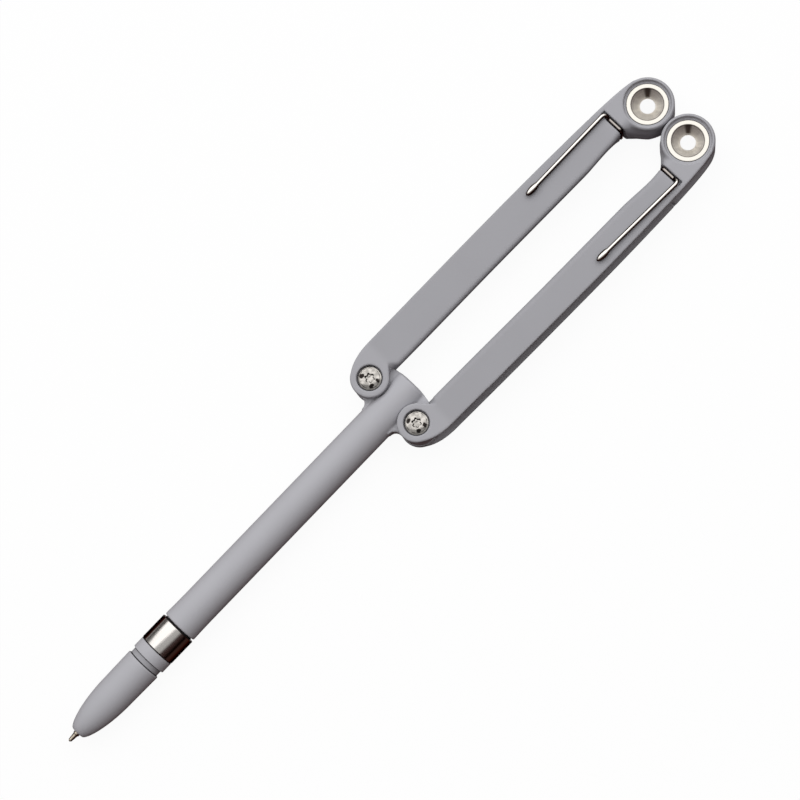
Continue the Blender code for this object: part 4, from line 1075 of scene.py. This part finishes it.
def button_head(shaft):
    """Head as a polar grid of (x, y, z): lobed socket floor and wall, crown, dome and skirt, then
    the shaft's own (radius, z) rows. The lobes are a six-fold wave that dies away outwards."""
    floor = HANDLE_H - SCREW_RECESS_DEPTH + CLEAR
    crown = HANDLE_H - HEAD_TOP_GAP
    base = floor + HEAD_SKIRT
    angle = np.linspace(0.0, 2.0 * math.pi, 144, endpoint=False)
    wave = 1.0 - LOBE_DEPTH + LOBE_DEPTH * np.cos(6.0 * angle)
    rows = [(0.0, crown - SOCKET_DEPTH - DIMPLE_DEPTH, 0.0), (DIMPLE_R, crown - SOCKET_DEPTH, 0.0)]
    rows += [(SCREW_SOCKET_R * out, crown - SOCKET_DEPTH, 1.0) for out in SOCKET_FLOOR]
    rows += [(SCREW_SOCKET_R * out, crown - down, lobe) for out, down, lobe in SOCKET_BRIM]
    rows += [(SCREW_CROWN_R, crown, 0.0)]
    share = np.linspace(0.0, 1.0, 18)[1:]
    dome_r = SCREW_CROWN_R + (SCREW_HEAD_R - SCREW_CROWN_R) * share
    dome_z = crown - (crown - base) * share ** DOME_POWER
    rows += [(r, z, 0.0) for r, z in zip(dome_r, dome_z)]
    rows += [(SCREW_HEAD_R, base - SKIRT_LAND, 0.0), (SCREW_HEAD_R, floor + SKIRT_EDGE, 0.0),
             (SCREW_HEAD_R - SKIRT_EDGE, floor, 0.0)]
    rows += [(r, z, 0.0) for r, z in shaft]
    r, z, lobe = np.array(rows).T[:, :, None]
    reach = r * (1.0 + lobe * (wave[None, :] - 1.0))
    return np.stack([reach * np.cos(angle), reach * np.sin(angle), z + 0.0 * reach], -1)


def screw_metal(name, centre):
    """Plated screw steel: fine scratches, a worn tool mark round the dome, steep faces such as the socket
    walls painted dark as shade and dark reflection, and ragged dark patches beside the socket that are
    painted reflections."""
    finish = Finish(bpy.data.materials.new(name))
    spot = finish.node("ShaderNodeTexCoord", output="Object")
    upright = finish.dot(finish.node("ShaderNodeTexCoord", output="Normal"), UP)
    scratch = finish.noise(spot, 900.0, 4.0)
    ragged = finish.noise(spot, 800.0, 3.0)
    radius = finish.length(finish.in_plan(spot, centre))
    tone = finish.blend(finish.step(scratch, *SCRATCHES), SCREW_STEEL, dimmed(SCREW_STEEL, SCREW_DULL))
    off_mark = finish.node("ShaderNodeMath", {"operation": "ABSOLUTE"}, {0: radius - TOOL_MARK_R * MM})
    marked = (1.0 - finish.step(off_mark, *TOOL_MARK_WIDTH)) * finish.step(ragged, *TOOL_MARK_GAPS)
    tone = finish.blend(marked, tone, SCREW_DARK)
    # Ragged dark patches beside the socket are painted reflections.
    for angle in REFLECTION_PATCH_ANGLES:
        middle = centre + REFLECTION_PATCH_R * MM * np.array([math.cos(angle), math.sin(angle), 0.0])
        away = finish.length(finish.in_plan(spot, middle))
        near = away + 2.0 * REFLECTION_PATCH_SIZE * (ragged - 0.5)
        tone = finish.blend(finish.step(near, *REFLECTION_PATCH_EDGE), SCREW_DARK, tone)
    # Steep faces, such as the socket walls, are painted dark: painted shade in the socket and a painted
    # reflection of the dark room.
    tone = finish.blend(finish.step(upright, *SOCKET_WALL), SCREW_DARK, tone)
    return shader(finish, Base_Color=tone, Metallic=1.0, Roughness=0.12 + 0.12 * scratch,
                  Normal=finish.bump(scratch, 0.35))


seat = HANDLE_H - SCREW_RECESS_DEPTH + CLEAR
sleeve_end = 2.0 * CLEAR - seat
thread_r = SCREW_SHANK_R + CLEAR
screw_grid = button_head([(SCREW_SHANK_R, seat), (SCREW_SHANK_R, SCREW_END), (0.0, SCREW_END)])
nut_grid = button_head([(SLEEVE_R, seat), (SLEEVE_R, sleeve_end), (thread_r, sleeve_end),
                        (thread_r, NUT_WEB), (0.0, NUT_WEB)]) * np.array([1.0, -1.0, -1.0])
fasteners = (("button_screw_", "pivot_screw_", screw_grid), ("sleeve_nut_", "pivot_nut_", nut_grid))
for word, side in SIDES:
    screw_steel = screw_metal("screw_steel_" + word, on_handle((0.0, 0.0, 0.0), side))
    for title, node, shape in fasteners:
        piece = grid_object(title + word, on_handle(shape, side), screw_steel, wrap_rows=False)
        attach(piece, word + "_handle")
        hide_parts(node + word)


# Inner works: refill, twist sleeve, follower and spring inside the pen, and the bronze
# washers beside the tang. They keep their own shapes and get their metals and plastics.
BRASS = (0.72, 0.55, 0.28, 1.0)
# Each shade colour is painted on that metal's upright and downward faces as a dark reflection.
BRASS_SHADE = (0.4, 0.28, 0.12, 1.0)
BRONZE = (0.55, 0.36, 0.20, 1.0)
BRONZE_SHADE = (0.3, 0.18, 0.09, 1.0)
PLAIN_STEEL = (0.68, 0.68, 0.68, 1.0)
STEEL_SHADE = (0.4, 0.4, 0.4, 1.0)
DARK_PLASTIC = (0.05, 0.05, 0.055, 1.0)
LATHE_LINES = (2600.0, 120.0, 120.0)
LAPPED_LINES = (900.0, 900.0, 900.0)


def plain_plastic(name, colour):
    """Smooth moulded plastic with a faint mottle."""
    finish = Finish(bpy.data.materials.new(name))
    spot = finish.node("ShaderNodeTexCoord", output="Object")
    cloud = finish.noise(spot, 400.0, 2.0)
    tone = finish.blend(cloud, colour, dimmed(colour, 0.8))
    return shader(finish, Base_Color=tone, Roughness=0.4 + 0.1 * cloud)


brass = polished_metal("sleeve_brass", BRASS, 0.25, LATHE_LINES, 0.2, BRASS_SHADE)
bronze = polished_metal("washer_bronze", BRONZE, 0.3, LAPPED_LINES, 0.2, BRONZE_SHADE)
refill_steel = polished_metal("refill_steel", PLAIN_STEEL, 0.25, LATHE_LINES, 0.2, STEEL_SHADE)
dark_plastic = plain_plastic("dark_plastic", DARK_PLASTIC)
looks = {"twist_sleeve": brass, "refill_tube": refill_steel, "return_spring": wire_steel,
         "refill_plug": dark_plastic, "cam_follower": dark_plastic}
looks.update({"washer_" + face + "_" + word: bronze for face in ("front", "rear") for word, side in SIDES})
for node, material in looks.items():
    nodes[node].data.materials.clear()
    nodes[node].data.materials.append(material)
